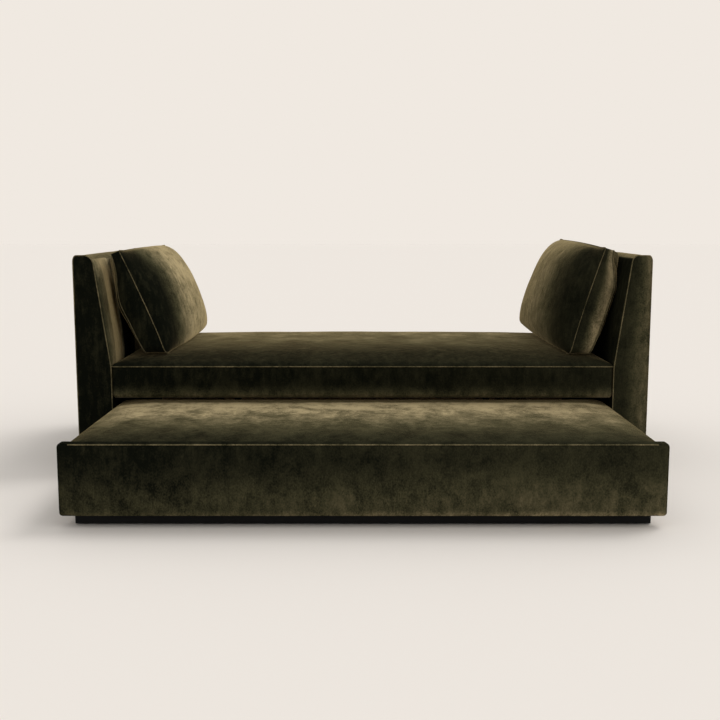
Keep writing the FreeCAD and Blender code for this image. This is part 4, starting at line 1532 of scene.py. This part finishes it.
@dataclass(kw_only=True)
class Pillow(Upholstery):
    """A loose boxed pillow that leans on an arm.

    Attributes:
        side: Which arm it leans on.
        length: Its length, front to back.
        boxing: The width of its boxing strip.
        boxing_swell: How far that strip swells at the front and back ends.
        face_crown: How far its face swells.
        back_crown: How far its back swells, against the arm.
        thin_end: How much less it swells at its far end.
        thin_span: Where along it, from -1 at its front end, that sets in.
        head: More than 1 makes it fuller high up.
        foot: How much of its swell is left where its foot is folded under.
        foot_rise: Up to which part of its height the swell is less.
        end_curve: The two powers of the round of its swell towards its front and back ends.
        rise_curve: The two powers of the round of its swell towards its upper and lower edges.
        draw_in: How far its ends draw in between the corners, and its long sides, which swell out.
        low_corner: The radius of its lower corners.
        ear: How far its upper corners stand out.
        ear_reach: How far from those corners that ends.
        pinch: How much of its boxing's width is left at its lower and at its upper corners.
        pinch_span: Where up its height, from -1 to 1, the pinch changes.
        flat_foot: The height over which its boxing turns flat on to the seat.
        gap: How far it stays from the seat and the arm.
        strip_span: Where across its boxing, from -1 at the face to 1 at the back, the painted light changes.
        slack: How free its seams and its boxing are when its cloth is blown up.
        boxing_tight: How much its boxing shortens then.
    """

    side: Side
    length: float = 0.862
    boxing: float = 0.090
    boxing_swell: float = 0.014
    face_crown: float = 0.110
    back_crown: float = 0.045
    thin_end: float = 0.10
    thin_span: Pair = (-0.5, 1.0)
    head: float = 1.03
    foot: float = 0.85
    foot_rise: float = 0.6
    end_curve: Pair = (2.8, 0.5)
    rise_curve: Pair = (3.2, 0.5)
    draw_in: Pair = (0.012, -0.004)
    low_corner: float = 0.036
    ear: float = 0.004
    ear_reach: float = 0.09
    pinch: Pair = (0.92, 0.38)
    pinch_span: Pair = (-0.6, 0.6)
    flat_foot: float = 0.13
    gap: float = 0.002
    strip_span: Pair = (-0.5, 1.0)
    slack: float = 0.35
    boxing_tight: float = 0.3
    cell: float = 0.0095
    swell: Swell = Swell(pressure=1.6, cap=0.010, shrink=-0.04)
    ruffle: Pair = (0.002, 4.5)
    fill: float = 0.75
    crease: float = 0.8
    welt_radius: float = 0.0017

    @property
    def name(self) -> str:
        """The pillow's name."""
        return self.side.word + "_pillow"

    def build(self, seat: Object, arm: Object) -> None:
        """Model the pillow and fit it.

        Args:
            seat: The seat that it stands on.
            arm: The arm that it leans on.
        """
        half = np.array((self.boxing, self.length, max(LEANS[self.side].height))) / 2
        pad = self.cut(self.name + "_cushion", -half, half)
        self.shape(pad)
        rims = [pad.rim(X, sign) for sign in (-1, 1)]
        edge = nearest(pad.inset(Y), pad.inset(Z))
        face = pad.on(X, 1) | pad.on(X, -1)
        tight = np.where(face, self.swell.tight(edge), self.boxing_tight)
        free = np.where(face, between((self.slack, 1.0), self.swell.free(edge)), self.slack)
        pad.swell(self.swell, free, tight)
        pad.ruffle(face * (1.0 - self.swell.tight(edge)), *self.ruffle)
        self.brush(pad)
        self.stand(pad)
        pad.rest(seat, (0.0, 0.0, -1.0), self.gap)
        pad.rest(arm, (self.side.value, 0.0, 0.0), self.gap)
        pad.crease(rims, self.crease)
        nodes = [self.name + part for part in ("_cover", "_insert", "_zip")]
        self.finish(pad, self.name, nodes, self.name + "_welts", rims)

    def brush(self, pad: Pad) -> None:
        """Paint light and shade into the pillow's velvet colour.

        Args:
            pad: The pillow, upright at the origin.
        """
        # nap holds the pillow's painted light and shade.
        nap = PILLOW_LIGHTS[self.side]
        face = between(nap.face, step(pad.unit[:, Y], *nap.change))
        strip = between(nap.strip, step(pad.unit[:, X] * self.side.value, *self.strip_span))
        painted_light_and_nap = np.where(pad.on(X, -self.side.value), face, strip)
        Bench.note(pad.obj, PAINTED_LIGHT_AND_NAP, np.where(pad.on(X, self.side.value), nap.back, painted_light_and_nap))

    def shape(self, pad: Pad) -> None:
        """Swell the faces, draw the sides in and pinch the boxing at the corners.

        Args:
            pad: The pillow's gridded box, upright at the origin.
        """
        places = pad.points
        along, up = pad.unit[:, Y], pad.unit[:, Z]
        ends = self.dome(along, self.end_curve)
        high = np.clip((1.0 + up) / 2, 0.0, 1.0)
        climb = self.dome(2.0 * high ** self.head - 1.0, self.rise_curve)
        climb *= between((self.foot, 1.0), step(high, 0.0, self.foot_rise))
        thinner = 1.0 - self.thin_end * step(along, *self.thin_span)
        for sign, crown in ((-self.side.value, self.face_crown), (self.side.value, self.back_crown)):
            face = pad.on(X, sign)
            places[face, X] += sign * crown * (ends * climb * thinner)[face]
        ends = pad.on(Y, 1) | pad.on(Y, -1)
        strip = (1.0 - pad.unit[:, X] ** 2) * (1.0 - up ** 4)
        places[ends, Y] += (self.boxing_swell * np.sign(along) * strip)[ends]
        corner = np.hypot(pad.inset(Y), pad.inset(Z))
        pinch = between(self.pinch, step(up, *self.pinch_span))
        nip = LEANS[self.side].nip
        seam = -self.side.value * self.boxing / 2
        places[:, X] = seam + (places[:, X] - seam) * between((pinch, 1.0), step(corner, 0.0, nip))
        outline = [Y, Z]
        rounded = round_plan(places[:, outline], pad.half[outline], self.low_corner)
        places[:, outline] = np.where(up[:, None] < 0.0, rounded, places[:, outline])
        places[:, Y] -= np.sign(along) * self.draw_in[0] * (1.0 - up ** 2) * np.abs(along)
        places[:, Z] -= np.sign(up) * self.draw_in[1] * (1.0 - along ** 2) * np.abs(up)
        tip = self.ear * (1.0 - step(corner, 0.0, self.ear_reach)) * (up > 0)
        places[:, Z] += tip
        places[:, Y] += np.sign(along) * tip
        pad.points = places

    @staticmethod
    def dome(place: Points, curve: Pair) -> Points:
        """A dome from -1 to 1, with a power that flattens its middle and one that steepens its ends."""
        flatness, steepness = curve
        return np.clip(1.0 - np.abs(place) ** flatness, 0.0, 1.0) ** steepness

    def stand(self, pad: Pad) -> None:
        """Stand the pillow on the seat, leaning on the arm.

        Args:
            pad: The pillow, upright at the origin.
        """
        lean = LEANS[self.side]
        foot = sum(corners(self.name + "_zip")) / 2
        places = pad.points
        back = np.clip(places[:, Y] / self.length + 0.5, 0.0, 1.0)
        slide, lift, tilt, height = (between(ends, back)
                                     for ends in (lean.slide, lean.lift, lean.tilt, lean.height))
        tilt = np.radians(tilt)
        up = (places[:, Z] + pad.half[Z]) * height / (2 * pad.half[Z])
        out = places[:, X] * self.side.value
        turn = tilt * step(up, 0.0, self.flat_foot)
        outward = abs(foot[X]) + slide + up * np.sin(tilt) + out * np.cos(turn)
        height = foot[Z] + lift + up * np.cos(tilt) - out * np.sin(turn)
        pad.points = np.stack((self.side.value * outward, foot[Y] + places[:, Y], height), axis=1)


@dataclass(kw_only=True)
class WrappedBoards(Upholstery):
    """The velvet-wrapped boards of the trundle box and the closing panel at the back.

    Attributes:
        boards: Each board's node and its body.
        edge: The radius of the wrap's edges.
    """

    boards: Sequence[tuple[str, str]] = (
        ("trundle_left_side", "trundle"),
        ("trundle_right_side", "trundle"),
        ("trundle_back_board", "trundle"),
        ("back_panel_cover", "daybed"),
    )
    edge: float = 0.005
    cell: float = 0.016
    pull: float = 1.3
    fill: float = 0.95

    def build(self) -> None:
        """Model each wrapped board and fit it."""
        for node, body in self.boards:
            low, high = corners(node)
            pad = self.cut(node + "_wrap", low, high)
            pad.points = round_box(pad.points, low, high, self.edge)
            self.finish(pad, body, [node])


@dataclass
class Studio:
    """The floor, the light and the camera.

    Attributes:
        pale: Colour of the floor and of what lies behind it.
        floor_size: How long each side of the floor is.
        key: Strength of the light from above.
        key_angle: How broad that light is, in degrees.
        key_turn: How it is turned, in degrees.
        bright_side: Where the light from all round is brightest.
        sky: Strength of the light from all round, at its dimmest and its brightest.
        eye: Where the camera stands.
        dip: How far it looks down, in degrees.
        lens: Its focal length in millimetres.
        sensor: Its sensor's width in millimetres.
    """

    pale: Colour = (0.871, 0.815, 0.753)
    floor_size: float = 80.0
    key: float = 0.7
    key_angle: float = 22.0
    key_turn: Pair = (-18.0, 30.0)
    bright_side: tuple[float, float, float] = (0.66, 0.52, 0.54)
    sky: Pair = (0.12, 1.12)
    eye: tuple[float, float, float] = (-0.010, -4.0925, 1.003)
    dip: float = 7.9
    lens: float = 50.0
    sensor: float = 36.0

    def build(self) -> None:
        """Set up the studio."""
        bpy.context.scene.view_settings.view_transform = "Standard"
        self.floor()
        self.world()
        self.lights()
        self.camera()

    def floor(self) -> None:
        """Lay the floor."""
        bpy.ops.object.select_all(action="DESELECT")
        bpy.ops.mesh.primitive_plane_add(size=self.floor_size, location=(0.0, 0.0, 0.0))
        floor = bpy.context.object
        floor.name = "studio_floor"
        graph = Graph(bpy.data.materials.new("pale_floor"))
        matt = graph.finish(Base_Color=self.pale, Roughness=1.0, Specular_IOR_Level=0.0)
        floor.data.materials.append(matt)

    def world(self) -> None:
        """Light the room softly, brighter on one side, with a pale backdrop where the camera sees it."""
        world = bpy.data.worlds.new("studio")
        bpy.context.scene.world = world
        graph = Graph(world)
        graph.tree.nodes.clear()
        rays = graph.add("ShaderNodeLightPath").outputs
        seen = rays["Is Camera Ray"]
        for name in ("Is Glossy Ray", "Is Transmission Ray"):
            seen = graph.math("MAXIMUM", seen, rays[name])
        towards = graph.add("ShaderNodeVectorMath", operation="DOT_PRODUCT")
        graph.feed(towards.inputs[0], graph.add("ShaderNodeTexCoord").outputs["Generated"])
        graph.feed(towards.inputs[1], Vector(self.bright_side).normalized())
        glow = graph.range(towards.outputs["Value"], (-1.0, 1.0), self.sky)
        mix = graph.add("ShaderNodeMixShader", {"Fac": seen})
        for target, colour, strength in ((mix.inputs[1], WHITE, glow), (mix.inputs[2], self.pale, 1.0)):
            light = graph.add("ShaderNodeBackground", {"Color": colour, "Strength": strength})
            graph.feed(target, light.outputs["Background"])
        graph.add("ShaderNodeOutputWorld", {"Surface": mix.outputs["Shader"]})

    def lights(self) -> None:
        """Hang the broad light overhead."""
        lamp = bpy.data.lights.new("overhead", "SUN")
        lamp.energy = self.key
        lamp.angle = math.radians(self.key_angle)
        obj = bpy.data.objects.new("overhead", lamp)
        obj.rotation_euler = (*(math.radians(turn) for turn in self.key_turn), 0.0)
        bpy.context.scene.collection.objects.link(obj)

    def camera(self) -> None:
        """Stand the camera where the photograph was taken."""
        data = bpy.data.cameras.new("camera")
        data.lens = self.lens
        data.sensor_width = self.sensor
        obj = bpy.data.objects.new("camera", data)
        obj.location = self.eye
        obj.rotation_euler = (math.radians(90.0 - self.dip), 0.0, 0.0)
        bpy.context.scene.collection.objects.link(obj)
        bpy.context.scene.camera = obj


def main() -> None:
    """Build every piece in order."""
    logging.basicConfig(level=logging.INFO, format="%(message)s")
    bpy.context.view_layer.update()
    Studio().build()
    arms = {side: ArmRest(side=side).build() for side in Side}
    seat = BenchSeat().build()
    TrundleFront().build()
    TrundleMattress().build()
    WrappedBoards().build()
    for side in Side:
        Pillow(side=side).build(seat, arms[side])
    Paint.dress_nodes(frame["nodes"])


if __name__ == "__main__":
    main()
